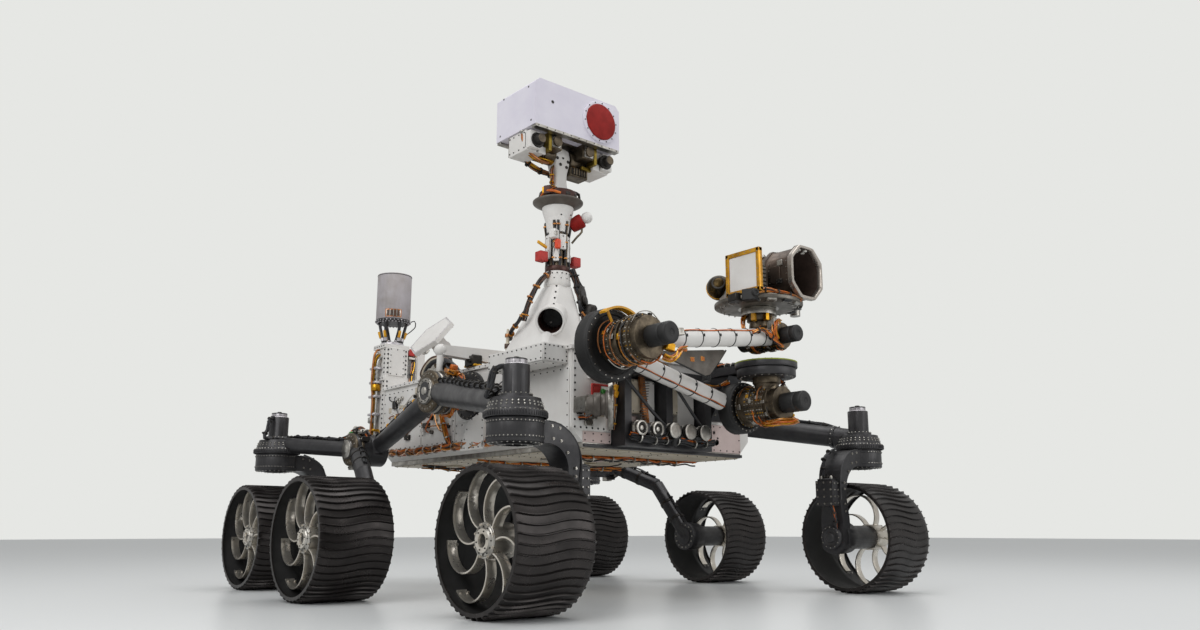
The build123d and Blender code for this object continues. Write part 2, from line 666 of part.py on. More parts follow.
def arm_bracket():
    """Holds the arm's shoulder out in front of the body."""
    root_y = BODY_FRONT_Y - DECK_OVERHANG
    half = BRACKET_HALF_WIDTH
    with BuildPart() as bracket:
        plate(
            [
                (SHOULDER_X - half, SHOULDER_Y), (SHOULDER_X + half, SHOULDER_Y),
                (BRACKET_ROOT_X + half, root_y), (BRACKET_ROOT_X - half, root_y),
            ],
            Plane.XY.offset((BRACKET_LOW + BRACKET_HIGH) / 2),
            BRACKET_HIGH - BRACKET_LOW,
        )
        rod((SHOULDER_X, SHOULDER_Y, BRACKET_LOW), (SHOULDER_X, SHOULDER_Y, BRACKET_HIGH), AZIMUTH_RADIUS)
        plate(
            [
                (root_y, BRACKET_FOOT_LOW), (BODY_FRONT_Y, BRACKET_FOOT_LOW),
                (BODY_FRONT_Y, BODY_HIGH - DECK_THICKNESS),
                (root_y, BODY_HIGH - DECK_THICKNESS), (root_y, BRACKET_HIGH), (root_y - 150, BRACKET_LOW),
                (root_y - 26, BRACKET_FOOT_LOW),
            ],
            Plane(origin=(BRACKET_ROOT_X, 0, 0), x_dir=(0, 1, 0), z_dir=(1, 0, 0)),
            2 * half,
        )
    save(bracket.part, "arm_bracket")


def shoulder():
    """Turns under the bracket and carries the elevation drive."""
    top = BRACKET_LOW - BEARING_GAP
    back = UPPER_ARM_Y - ARM_DISC_HEIGHT / 2 - BEARING_GAP
    with BuildPart() as turning:
        rod(
            (SHOULDER_X, SHOULDER_Y, top - AZIMUTH_HEIGHT),
            (SHOULDER_X, SHOULDER_Y, top),
            AZIMUTH_RADIUS - AZIMUTH_STEP,
        )
        rod((SHOULDER_X, ARM_FRONT_Y, SHOULDER_Z), (SHOULDER_X, back, SHOULDER_Z), SHOULDER_DRUM_RADIUS)
        rod((SHOULDER_X, ARM_MOTOR_FRONT_Y, SHOULDER_Z), (SHOULDER_X, back, SHOULDER_Z), ARM_MOTOR_RADIUS)
        rod((SHOULDER_X, SHOULDER_Y, SHOULDER_Z), (SHOULDER_X, SHOULDER_Y, top), SHOULDER_POST_RADIUS)
    save(turning.part, "shoulder")


def upper_arm():
    """Elevation disc, tube and the elbow's disc and drum."""
    back, front = UPPER_ARM_Y + ARM_DISC_HEIGHT / 2, UPPER_ARM_Y - ARM_DISC_HEIGHT / 2
    with BuildPart() as arm:
        rod((SHOULDER_X, front, SHOULDER_Z), (SHOULDER_X, back, SHOULDER_Z), SHOULDER_DISC_RADIUS)
        rod((SHOULDER_X, UPPER_TUBE_Y, SHOULDER_Z), (ELBOW_X, UPPER_TUBE_Y, ELBOW_Z), ARM_TUBE_RADIUS)
        rod((ELBOW_X, front, ELBOW_Z), (ELBOW_X, back, ELBOW_Z), ELBOW_DISC_RADIUS)
        rod(
            (ELBOW_X, FOREARM_Y + FOREARM_COLLAR + BEARING_GAP, ELBOW_Z),
            (ELBOW_X, front, ELBOW_Z),
            ELBOW_DRUM_RADIUS,
        )
    save(arm.part, "upper_arm")


def forearm():
    """Elbow collar and motor, tube and the wrist's drum."""
    with BuildPart() as arm:
        rod((ELBOW_X, ARM_FRONT_Y, ELBOW_Z), (ELBOW_X, FOREARM_Y + FOREARM_COLLAR, ELBOW_Z), ELBOW_DRUM_RADIUS)
        rod((ELBOW_X, ARM_MOTOR_FRONT_Y, ELBOW_Z), (ELBOW_X, ARM_FRONT_Y, ELBOW_Z), ARM_MOTOR_RADIUS)
        rod((ELBOW_X, FOREARM_Y, ELBOW_Z), (WRIST_X, FOREARM_Y, WRIST_Z), ARM_TUBE_RADIUS)
        rod((WRIST_X, ARM_FRONT_Y, WRIST_Z), (WRIST_X, FOREARM_Y + ARM_TUBE_RADIUS, WRIST_Z), WRIST_RADIUS)
        rod((WRIST_X, ARM_MOTOR_FRONT_Y + 30, WRIST_Z), (WRIST_X, ARM_FRONT_Y, WRIST_Z), ARM_MOTOR_RADIUS - 8)
    save(arm.part, "forearm")


def wrist():
    """Turns on the forearm's drum and holds the turret up."""
    near = FOREARM_Y + ARM_TUBE_RADIUS + BEARING_GAP
    with BuildPart() as joint:
        rod((WRIST_X, near, WRIST_Z), (WRIST_X, near + 88, WRIST_Z), WRIST_RADIUS)
        rod((WRIST_X, near, WRIST_Z), (WRIST_X, near + 150, WRIST_Z), ARM_MOTOR_RADIUS)
        rod((WRIST_X, TURRET_Y, WRIST_Z), (WRIST_X, TURRET_Y, TURRET_LOW), 42)
        rod((WRIST_X, TURRET_Y, TURRET_LOW - 32), (WRIST_X, TURRET_Y, TURRET_LOW), 80)
    save(joint.part, "wrist")


def turret_plate():
    """The turret's round base, with the finned unit on its outer side."""
    low = TURRET_LOW + BEARING_GAP
    top = low + TURRET_PLATE_HEIGHT
    fins = WRIST_X + DRILL_OFFSET + DRILL_HALF_WIDTH + 34
    with BuildPart() as base:
        rod((WRIST_X, TURRET_Y, low), (WRIST_X, TURRET_Y, top), TURRET_PLATE_RADIUS)
        block((WRIST_X + 90, TURRET_Y - 60, low), (fins + 20, TURRET_Y + 20, top))
        rod((fins, TURRET_Y - 20, low), (fins, TURRET_Y - 20, top + 150), 24)
        for n in range(5):
            z = top + 22 + 28 * n
            rod((fins, TURRET_Y - 20, z), (fins, TURRET_Y - 20, z + 12), 32)
    save(base.part, "turret_plate")


def turret_drill():
    """The long housing with an eight-sided open mouth."""
    low = TURRET_LOW + BEARING_GAP + TURRET_PLATE_HEIGHT
    x = WRIST_X + DRILL_OFFSET
    middle = low + DRILL_HEIGHT / 2
    half, cut = DRILL_HALF_WIDTH, DRILL_CORNER

    def octagon(inset):
        side_x, side_z = half - inset, DRILL_HEIGHT / 2 - inset
        corner = cut - inset * 0.6
        return [
            (sx * px, middle + sz * pz)
            for sx, sz, first in ((-1, -1, 0), (1, -1, 1), (1, 1, 0), (-1, 1, 1))
            for px, pz in (
                ((side_x, side_z - corner), (side_x - corner, side_z))
                if first == 0
                else ((side_x - corner, side_z), (side_x, side_z - corner))
            )
        ]

    front = Plane(origin=(x, TURRET_Y - DRILL_FRONT, 0), x_dir=(1, 0, 0), z_dir=(0, -1, 0))
    with BuildPart() as drill:
        stages = (
            # inset, depth of the near face, depth of the far face
            (0, 0, 26),
            (8, 26, 150),
            (0, 150, 172),
            (12, 172, DRILL_FRONT + DRILL_BACK),
        )
        for inset, near, far in stages:
            with BuildSketch(front.offset(-near)) as section:
                with BuildLine():
                    Polyline(*octagon(inset), close=True)
                make_face()
            extrude(section.sketch, amount=near - far)
        with BuildSketch(front) as mouth:
            with BuildLine():
                Polyline(*octagon(DRILL_WALL), close=True)
            make_face()
        extrude(mouth.sketch, amount=-DRILL_DEPTH, mode=Mode.SUBTRACT)
        block((x - half - 36, TURRET_Y - 40, low), (x - half + 20, TURRET_Y + 150, low + 96))
    save(drill.part, "turret_drill")


def turret_sensor():
    """The square framed sensor on the turret's inner side, with the round unit behind it."""
    low = TURRET_LOW + BEARING_GAP + TURRET_PLATE_HEIGHT
    x = WRIST_X - SENSOR_OFFSET
    half = SENSOR_SIZE / 2
    with BuildPart() as sensor:
        block((x, TURRET_Y - 100, low), (x + 90, TURRET_Y + 30, low + 150))
        block((x - 26, TURRET_Y - 60 - half, low + 8), (x, TURRET_Y - 60 + half, low + 8 + SENSOR_SIZE))
        block((x - 4, TURRET_Y + 20, low), (x + 66, TURRET_Y + 100, low + 60))
        with Locations((x + 12, TURRET_Y + 112, low + SPHERE_RADIUS + 16)):
            Sphere(SPHERE_RADIUS)
    save(sensor.part, "turret_sensor")


def dish_post():
    with BuildPart() as post:
        rod((DISH_X, DISH_Y, BODY_HIGH), (DISH_X, DISH_Y, DISH_POST_TOP), 42)
        rod((DISH_X, DISH_Y, BODY_HIGH), (DISH_X, DISH_Y, BODY_HIGH + 16), 76)
    save(post.part, "dish_post")


def dish_turntable():
    low = DISH_POST_TOP + BEARING_GAP
    with BuildPart() as table:
        rod((DISH_X, DISH_Y, low), (DISH_X, DISH_Y, low + 24), 56)
        block((DISH_X - 24, DISH_Y - 20, low + 24), (DISH_X + 24, DISH_Y + 20, DISH_AXIS_Z))
        rod((DISH_X, DISH_Y - 20, DISH_AXIS_Z), (DISH_X, DISH_Y + 20, DISH_AXIS_Z), 30)
    save(table.part, "dish_turntable")


def dish():
    """The flat six-sided antenna and the ears it tilts on, looking out to the right and up."""
    with BuildPart() as face:
        with BuildSketch(Plane.XY.offset(DISH_AXIS_Z + DISH_OFFSET)) as six:
            with Locations((DISH_X, DISH_Y)):
                RegularPolygon(DISH_RADIUS, 6)
        extrude(six.sketch, amount=DISH_THICKNESS)
        with BuildSketch(Plane.XY.offset(DISH_AXIS_Z + 30 + RUN_GAP)) as back:
            with Locations((DISH_X, DISH_Y)):
                RegularPolygon(DISH_RADIUS * 0.33, 6)
        extrude(back.sketch, amount=DISH_OFFSET - 30 - RUN_GAP)
        for side in (-1, 1):
            near = DISH_Y + side * (20 + BEARING_GAP)
            far = near + side * 24
            rod((DISH_X, near, DISH_AXIS_Z), (DISH_X, far, DISH_AXIS_Z), 30)
            block((DISH_X - 24, near, DISH_AXIS_Z), (DISH_X + 24, far, DISH_AXIS_Z + 30 + RUN_GAP + 6))
    lifted = face.part.rotate(Axis((DISH_X, DISH_Y, DISH_AXIS_Z), (0, 1, 0)), DISH_REST - 90)
    save(lifted, "dish")


def relay_tower():
    """The bolted column behind the body that carries the relay antenna."""
    half_x, half_y = (size / 2 for size in TOWER_SIZE)
    proud, band = TOWER_BAND
    under_deck = BODY_HIGH - DECK_THICKNESS
    with BuildPart() as tower:
        block((RELAY_X - half_x, RELAY_Y - half_y, TOWER_LOW), (RELAY_X + half_x, RELAY_Y + half_y, TOWER_HIGH))
        for low in (TOWER_LOW, TOWER_LOW + TOWER_SPLICE, TOWER_HIGH - band):
            block(
                (RELAY_X - half_x - proud, RELAY_Y - half_y, low),
                (RELAY_X + half_x + proud, RELAY_Y + half_y + proud, low + band),
            )
        block(
            (RELAY_X - half_x * 0.8, BODY_REAR_Y, TOWER_LOW + 100),
            (RELAY_X + half_x * 0.8, RELAY_Y, under_deck - 40),
        )
    save(tower.part, "relay_tower")


def relay_antenna():
    """The tall can on its short struts."""
    plate_radius, plate_height = STRUT_PLATE
    with BuildPart() as can:
        rod((RELAY_X, RELAY_Y, RELAY_LOW), (RELAY_X, RELAY_Y, RELAY_HIGH), RELAY_RADIUS)
        rod((RELAY_X, RELAY_Y, RELAY_LOW - 10), (RELAY_X, RELAY_Y, RELAY_LOW), RELAY_RADIUS * 0.9)
        rod((RELAY_X, RELAY_Y, TOWER_HIGH), (RELAY_X, RELAY_Y, TOWER_HIGH + plate_height), plate_radius)
        for angle in range(30, 390, 60):
            spread = 16 if angle % 120 == 30 else -16
            foot = angle + spread
            rod(
                (
                    RELAY_X + STRUT_FOOT_RADIUS * cos(radians(foot)),
                    RELAY_Y + STRUT_FOOT_RADIUS * sin(radians(foot)),
                    TOWER_HIGH + plate_height / 2,
                ),
                (
                    RELAY_X + STRUT_TOP_RADIUS * cos(radians(angle)),
                    RELAY_Y + STRUT_TOP_RADIUS * sin(radians(angle)),
                    RELAY_LOW,
                ),
                STRUT_RADIUS,
            )
    save(can.part, "relay_antenna")


def antenna_stalk():
    with BuildPart() as stalk:
        rod((STALK_X, STALK_Y, BODY_HIGH), (STALK_X, STALK_Y, STALK_TOP), 15)
        rod((STALK_X, STALK_Y, BODY_HIGH), (STALK_X, STALK_Y, BODY_HIGH + 60), 32)
    save(stalk.part, "antenna_stalk")


def heat_exchanger(label, side):
    """A tall white plate beside the place of the power source."""
    x = side * EXCHANGER_X
    wall = BODY_REAR_Y + DECK_OVERHANG
    under_deck = BODY_HIGH - DECK_THICKNESS
    with BuildPart() as panel:
        plate(
            [
                (BODY_REAR_Y, EXCHANGER_LOW), (EXCHANGER_REAR_Y, EXCHANGER_LOW + 70),
                (EXCHANGER_REAR_Y, EXCHANGER_HIGH - 90), (EXCHANGER_REAR_Y - 90, EXCHANGER_HIGH),
                (wall, EXCHANGER_HIGH), (wall, under_deck), (BODY_REAR_Y, under_deck),
            ],
            Plane(origin=(x, 0, 0), x_dir=(0, 1, 0), z_dir=(1, 0, 0)),
            EXCHANGER_THICKNESS,
        )
    save(panel.part, label)


def source_mount():
    """The round flange that takes the power source, on struts off the rear wall."""
    face = BODY_REAR_Y + SOURCE_REACH
    with BuildPart() as mount:
        with BuildSketch(Plane(origin=(0, face, SOURCE_Z), x_dir=(1, 0, 0), z_dir=(0, 1, 0))) as ring:
            Circle(SOURCE_RING_RADIUS)
            Circle(SOURCE_RING_RADIUS - SOURCE_RING_WIDTH, mode=Mode.SUBTRACT)
            with PolarLocations(SOURCE_BOLT_CIRCLE / 2, 4, start_angle=45):
                Circle(SOURCE_BOLT_RADIUS, mode=Mode.SUBTRACT)
        extrude(ring.sketch, amount=-SOURCE_PLATE)
        middle = SOURCE_RING_RADIUS - SOURCE_RING_WIDTH / 2
        for angle in (0, 180, 240, 300):
            x = middle * cos(radians(angle))
            z = SOURCE_Z + middle * sin(radians(angle))
            rod((x, BODY_REAR_Y, z), (x, face - SOURCE_PLATE / 2, z), 16)
    save(mount.part, "source_mount")


def payload_plate():
    """A bare plate on the deck for a payload."""
    wide, deep, thick = PAYLOAD_PLATE
    with BuildPart() as pad:
        block(
            (PAYLOAD_X - wide / 2, PAYLOAD_Y - deep / 2, BODY_HIGH),
            (PAYLOAD_X + wide / 2, PAYLOAD_Y + deep / 2, BODY_HIGH + thick),
        )
    save(pad.part, "payload_plate")


def front_bay():
    """The open frame across the nose, with its rails and the sample canisters."""
    wall = BODY_FRONT_Y
    front = wall - BAY_DEPTH
    left, right = BAY_X
    low, high = BAY_Z
    with BuildPart() as bay:
        for z in (low, high - BAY_BAR):
            block((left, front, z), (right, wall, z + BAY_BAR))
        for x in (left, (left + right - BAY_BAR) / 2, right - BAY_BAR):
            block((x, front, low), (x + BAY_BAR, wall, high))
        for rise in RAIL_HEIGHTS:
            rod(
                (left + RAIL_INSET, front + RAIL_INSET, low + rise),
                (right - RAIL_INSET, front + RAIL_INSET, low + rise),
                RAIL_RADIUS,
            )
        for n in range(CANISTER_COUNT):
            x = left + CANISTER_INSET + CANISTER_PITCH * n
            rod((x, wall - CANISTER_REACH, low + CANISTER_RISE), (x, wall, low + CANISTER_RISE), CANISTER_RADIUS)
    save(bay.part, "front_bay")


def docking_disc():
    """The thin round port that the arm's tools meet."""
    middle, normal = Vector(*PORT_MIDDLE), Vector(*PORT_NORMAL)
    arm_wide, arm_tall = PORT_ARM
    with BuildPart() as disc:
        with BuildSketch(Plane(origin=middle, z_dir=normal)) as face:
            Circle(PORT_RADIUS)
            SlotOverall(*PORT_SLOT, mode=Mode.SUBTRACT)
        extrude(face.sketch, amount=PORT_THICKNESS)
        end = middle - normal * PORT_DRUM_LENGTH
        rod(middle, end, PORT_DRUM_RADIUS)
        block(
            (end.X - arm_wide / 2, end.Y - arm_wide / 2, middle.Z - arm_tall / 2),
            (end.X + arm_wide / 2, BODY_FRONT_Y, middle.Z + arm_tall / 2),
        )
    save(disc.part, "docking_disc")


os.makedirs("parts", exist_ok=True)

# Name, side (left is +1), track and axle place of each wheel
WHEELS = (
    ("front_left", 1, CORNER_TRACK, FRONT_AXLE_Y),
    ("front_right", -1, CORNER_TRACK, FRONT_AXLE_Y),
    ("middle_left", 1, MIDDLE_TRACK, MIDDLE_AXLE_Y),
    ("middle_right", -1, MIDDLE_TRACK, MIDDLE_AXLE_Y),
    ("rear_left", 1, CORNER_TRACK, REAR_AXLE_Y),
    ("rear_right", -1, CORNER_TRACK, REAR_AXLE_Y),
)
for place, side, track, y in WHEELS:
    wheel_rim(f"wheel_rim_{place}", side, track, y)
    wheel_hub(f"wheel_hub_{place}", side, track, y)
    if track == CORNER_TRACK:
        leg(f"leg_{place}", side, y)
for name, side in (("left", 1), ("right", -1)):
    rocker(f"rocker_{name}", side)
    bogie(f"bogie_{name}", side)
    heat_exchanger(f"heat_exchanger_{name}", side)
body_shell()
deck()
belly_pan()
differential_bar()
mast_foot()
mast_tube()
mast_neck()
camera_bar()
head_box()
arm_bracket()
shoulder()
upper_arm()
forearm()
wrist()
turret_plate()
turret_drill()
turret_sensor()
dish_post()
dish_turntable()
dish()
relay_tower()
relay_antenna()
antenna_stalk()
source_mount()
payload_plate()
front_bay()
docking_disc()
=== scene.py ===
# %% [markdown]
# # A six-wheeled planetary rover in a clean room
# The rover is a box of instruments on six black metal wheels. A white mast with a camera head
# stands at one front corner, and an arm with a heavy tool turret folds across the nose. The CAD
# model is loaded first as a fixed frame. Everything below dresses it: better wheels, cables,
# bolts, bands and the surface of each metal and paint. Nothing that is added may reach outside
# it.

import random
from math import cos, pi, radians, sin, sqrt

import bmesh
import bpy
import numpy as np
from mathutils import Matrix, Vector
from numpy.linalg import norm


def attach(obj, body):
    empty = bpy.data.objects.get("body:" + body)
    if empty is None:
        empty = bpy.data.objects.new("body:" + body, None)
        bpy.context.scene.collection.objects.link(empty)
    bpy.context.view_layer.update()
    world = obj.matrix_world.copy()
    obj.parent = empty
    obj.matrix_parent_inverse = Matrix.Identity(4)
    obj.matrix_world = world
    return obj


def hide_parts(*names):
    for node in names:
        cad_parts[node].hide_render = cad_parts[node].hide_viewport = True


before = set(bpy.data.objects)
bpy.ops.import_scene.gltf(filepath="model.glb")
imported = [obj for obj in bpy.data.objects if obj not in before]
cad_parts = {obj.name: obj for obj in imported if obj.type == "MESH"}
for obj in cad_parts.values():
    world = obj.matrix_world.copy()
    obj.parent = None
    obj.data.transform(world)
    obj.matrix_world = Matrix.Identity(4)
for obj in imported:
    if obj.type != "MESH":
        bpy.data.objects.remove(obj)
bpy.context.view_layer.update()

# %% [markdown]
# ## The camera
# The photographer stood off the rover's front right corner with a wide lens, low down and
# looking slightly up. The numbers come from matching the wheels, the mast and the arm to their
# places in the frame. The lens is given as the number of pixels that one radian would cover in a
# frame 1200 pixels wide, which a 36 mm sensor turns into millimetres.

# %% Place the camera
FRAME_WIDTH = 1200
LENS_PIXELS = 940
# Upward tilt and heading in radians, and the lens shift as a share of the frame
LOOK_UP, HEADING, SHIFT_UP = 0.2, -0.7092, 0.02

camera = bpy.data.objects.new("camera", bpy.data.cameras.new("camera"))
bpy.context.scene.collection.objects.link(camera)
camera.location = (-3.02, -3.85, 0.30)
camera.rotation_euler = (pi / 2 + LOOK_UP, 0, HEADING)
camera.data.sensor_width = 36
camera.data.lens = LENS_PIXELS / FRAME_WIDTH * camera.data.sensor_width
camera.data.shift_y = SHIFT_UP
bpy.context.scene.camera = camera
print("lens", round(camera.data.lens, 1), "mm")

# %% [markdown]
# ## Colours and nodes
# Colours are written as they look on a screen, in sRGB. A renderer works in linear light, so one
# function turns each into linear numbers. One more function adds a node to a material: it takes
# the node's settings by name, and its inputs as plain values or as other nodes' outputs. Two more
# start a material with no nodes and put an object into the scene.


# %% Four small helpers
def linear(code):
    """An sRGB colour such as "#d8d2cc" as linear red, green, blue and alpha."""
    parts = [int(code[i : i + 2], 16) / 255 for i in (1, 3, 5)]
    return tuple(c / 12.92 if c <= 0.04045 else ((c + 0.055) / 1.055) ** 2.4
        for c in parts) + (1.0,)


def node(tree, kind, inputs=None, **settings):
    """Adds a node with its settings, and fills or links its inputs."""
    made = tree.nodes.new(kind)
    for name, value in settings.items():
        setattr(made, name, value)
    for name, value in (inputs or {}).items():
        socket = made.inputs[name]
        if isinstance(value, bpy.types.NodeSocket):
            tree.links.new(value, socket)
        else:
            socket.default_value = value
    return made


def new_material(name):
    """A new material with an empty node tree, and that tree."""
    made = bpy.data.materials.new(name)
    made.use_nodes = True
    made.node_tree.nodes.clear()
    return made, made.node_tree


def in_scene(name, data):
    """A new object in the scene that shows a mesh or a lamp."""
    made = bpy.data.objects.new(name, data)
    bpy.context.scene.collection.objects.link(made)
    return made


print("mid grey in linear light:", round(linear("#808080")[0], 3))

# %% [markdown]
# ## Floor, sky and lamps
# A clean room is a white box with light from everywhere. A pale floor and a pale sky stand in
# for it. The camera and mirror-like metal see the sky as nearly white, while its light on the
# object is weaker, and three large soft lamps give the shapes a gentle direction.

# %% Build the studio
world = bpy.data.worlds.new("clean_room")
bpy.context.scene.world = world
world.use_nodes = True
tree = world.node_tree
tree.nodes.clear()
rays = node(tree, "ShaderNodeLightPath")
seen = node(tree, "ShaderNodeMath",
    {0: rays.outputs["Is Camera Ray"], 1: rays.outputs["Is Transmission Ray"]}, operation="MAXIMUM")
soft_light = node(tree, "ShaderNodeBackground", {"Color": linear("#e9eef2"), "Strength": 0.5})
mirrored = node(tree, "ShaderNodeBackground", {"Color": linear("#e6e6e4"), "Strength": 0.75})
backdrop = node(tree, "ShaderNodeBackground", {"Color": linear("#e6e7e4"), "Strength": 1.0})
glossy = node(tree, "ShaderNodeMixShader",
    {"Fac": rays.outputs["Is Glossy Ray"], 1: soft_light.outputs[0], 2: mirrored.outputs[0]})
sky = node(tree, "ShaderNodeMixShader",
    {"Fac": seen.outputs[0], 1: glossy.outputs[0], 2: backdrop.outputs[0]})
node(tree, "ShaderNodeOutputWorld", {"Surface": sky.outputs[0]})

floor_mesh = bpy.data.meshes.new("floor")
FLOOR_REACH = 30
corners = [(x * FLOOR_REACH, y * FLOOR_REACH, 0) for x, y in ((-1, -1), (1, -1), (1, 1), (-1, 1))]
floor_mesh.from_pydata(corners, [], [(0, 1, 2, 3)])
floor = in_scene("floor", floor_mesh)
floor_finish, tree = new_material("sealed_floor")
sealed = node(tree, "ShaderNodeBsdfPrincipled",
    {"Base Color": linear("#dcdddc"), "Roughness": 0.32})
node(tree, "ShaderNodeOutputMaterial", {"Surface": sealed.outputs[0]})
floor_mesh.materials.append(floor_finish)

# Name, place, what it aims at, size and power in watts
LAMPS = (
    ("window_wall", (-5.5, -2.0, 4.6), (0, 0, 1.0), 4.5, 190),
    ("ceiling", (0.5, -1.0, 6.5), (0, 0, 0.5), 5.0, 180),
    ("front_fill", (2.5, -6.5, 2.6), (0, 0, 1.0), 4.0, 90),
)
for name, place, aim, size, power in LAMPS:
    lamp = in_scene(name, bpy.data.lights.new(name, "AREA"))
    lamp.data.shape = "SQUARE"
    lamp.data.size = size
    lamp.data.energy = power
    lamp.location = place
    lamp.rotation_euler = (Vector(aim) - Vector(place)).to_track_quat("-Z", "Y").to_euler()
bpy.context.scene.view_settings.view_transform = "Standard"
print("studio lamps:", len(LAMPS))

# %% [markdown]
# ## Paint and metal
# Nearly every surface here is one of two things: a painted or plated metal, or a cable jacket.
# Up close none is one flat colour. Sprayed paint has an orange-peel skin and a little dust in
# it, anodised metal is cloudy, and machined metal keeps the marks of the cutter. One recipe
# makes each of them: it takes a cloud size for the slow change of colour and gloss, a grain
# size for the fine skin, and how strongly that skin shows.


# %% One recipe for painted and plated metal
def finish(name, colour, second, roughness, metallic=0.0, cloud_mm=120, grain_mm=2.5, grain=0.15,
        stretch=(1, 1, 1), ior=None, coat=0.0):
    """A metal or paint whose colour and gloss drift a little, with a fine skin."""
    made, tree = new_material(name)
    place = node(tree, "ShaderNodeTexCoord")
    drawn = node(tree, "ShaderNodeVectorMath", {0: place.outputs["Object"], 1: stretch},
        operation="MULTIPLY")
    clouds = node(tree, "ShaderNodeTexNoise", {"Vector": place.outputs["Object"],
        "Scale": 1000 / cloud_mm, "Detail": 4.0, "Roughness": 0.6})
    skin = node(tree, "ShaderNodeTexNoise",
        {"Vector": drawn.outputs[0], "Scale": 1000 / grain_mm, "Detail": 2.0})
    wide = node(tree, "ShaderNodeMapRange",
        {"Value": clouds.outputs["Fac"], "From Min": 0.35, "From Max": 0.65})
    colour_mix = node(tree, "ShaderNodeMix",
        {"Factor": wide.outputs[0], "A": linear(colour), "B": linear(second)}, data_type="RGBA")
    gloss_low, gloss_high = max(0.04, roughness - 0.07), min(1.0, roughness + 0.07)
    gloss = node(tree, "ShaderNodeMapRange", {"Value": clouds.outputs["Fac"], "From Min": 0.3,
        "From Max": 0.7, "To Min": gloss_low, "To Max": gloss_high})
    bump = node(tree, "ShaderNodeBump",
        {"Height": skin.outputs["Fac"], "Strength": grain, "Distance": grain_mm / 1000 * 0.35})
    inputs = {"Base Color": colour_mix.outputs["Result"], "Roughness": gloss.outputs[0],
        "Metallic": metallic, "Normal": bump.outputs[0], "Coat Weight": coat}
    if ior:
        inputs["IOR"] = ior
    shader = node(tree, "ShaderNodeBsdfPrincipled", inputs)
    node(tree, "ShaderNodeOutputMaterial", {"Surface": shader.outputs[0]})
    return made


# %% [markdown]
# The white is a heat-reflecting spray paint on aluminium: matt, faintly warm, with an
# orange-peel skin a few millimetres across. The head has the same paint in a cooler shade. The
# suspension and the wheels are hard-anodised aluminium, where dye in an oxide skin gives a satin
# black that still reflects like metal. Titanium and bare aluminium keep fine cutter marks, drawn
# out along one direction. Chromate-treated housings come out a dull gold-brown.

# %% The metals and paints
white_paint = finish("heat_reflecting_paint", "#e2dfdb", "#d3cfca", 0.5, cloud_mm=260, grain_mm=3.0,
    grain=0.12, ior=1.5)
head_paint = finish("cool_white_paint", "#dcd8e0", "#cfcad6", 0.46, cloud_mm=300, grain_mm=3.0,
    grain=0.12, ior=1.5)
grey_paint = finish("grey_lilac_paint", "#a9a3a6", "#98918f", 0.5, cloud_mm=90, grain_mm=3.0,
    grain=0.15, ior=1.5)
black_anodised = finish("black_anodising", "#3c3b3c", "#302f31", 0.4, metallic=0.45, cloud_mm=70,
    grain_mm=1.6, grain=0.06)
wheel_black = finish("wheel_dark_coating", "#353130", "#292625", 0.3, metallic=0.7, cloud_mm=110,
    grain_mm=1.6, grain=0.05)
titanium = finish("brushed_titanium", "#ded8ce", "#c6bfb3", 0.3, metallic=0.85, cloud_mm=60,
    grain_mm=1.4, grain=0.04, stretch=(0.1, 1, 1))
bare_metal = finish("milled_aluminium", "#b9b6b0", "#8f8b84", 0.33, metallic=1.0, cloud_mm=35,
    grain_mm=1.2, grain=0.16, stretch=(1, 1, 0.12))
brown_metal = finish("chromate_aluminium", "#6d6252", "#4a4238", 0.42, metallic=0.9, cloud_mm=30,
    grain_mm=1.6, grain=0.2)
dark_housing = finish("cast_housing", "#3b3835", "#2a2826", 0.48, metallic=0.75, cloud_mm=40,
    grain_mm=2.2, grain=0.25)
gold_metal = finish("gold_plating", "#c9982f", "#a87820", 0.3, metallic=1.0, cloud_mm=25,
    grain_mm=1.5, grain=0.15)
red_cover = finish("red_dust_cover", "#90130c", "#7c100a", 0.66, cloud_mm=60, grain_mm=2.5,
    grain=0.06, ior=1.35)
shroud_black = finish("black_polymer", "#141414", "#1c1b1b", 0.55, cloud_mm=50, grain_mm=1.5,
    grain=0.2, ior=1.46)
FINISHES = {
    "white_paint": white_paint,
    "grey_paint": grey_paint,
    "black_anodised": black_anodised,
    "bare_metal": bare_metal,
    "titanium": titanium,
    "dark_housing": dark_housing,
    "gold": gold_metal,
}
print("finishes:", len(FINISHES))

# %% [markdown]
# ## A workbench for meshes
# The rover has hundreds of small turned, bent and boxed parts. Making each by hand in edit mode
# would be slow, and one object for each would be hard to keep on the right body. So a small
# workbench collects shapes into one mesh: turned profiles, tubes that follow a smooth route,
# boxes with eased edges, and bolts. Sizes are in millimetres, as on a drawing, and become metres
# when the piece is finished and hung on its body. A piece lists its finishes once, and each shape
# then gives its finish as a number in that list.


# %% Smooth routes
UP, DOWN, FRONT, BACK = (0, 0, 1), (0, 0, -1), (0, -1, 0), (0, 1, 0)


def smooth_route(points, step=12.0):
    """Points along a smooth curve through a route, about one step apart."""
    p = np.array(points, float)
    p = np.vstack([2 * p[0] - p[1], p, 2 * p[-1] - p[-2]])
    out = []
    for a, b, c, d in zip(p[:-3], p[1:-2], p[2:-1], p[3:]):
        count = max(2, int(norm(c - b) / step))
        t = np.linspace(0, 1, count, endpoint=False)[:, None]
        square, cube = 2 * a - 5 * b + 4 * c - d, 3 * b - a - 3 * c + d
        out.append(0.5 * (2 * b + (c - a) * t + square * t**2 + cube * t**3))
    return np.vstack(out + [p[-2][None]])


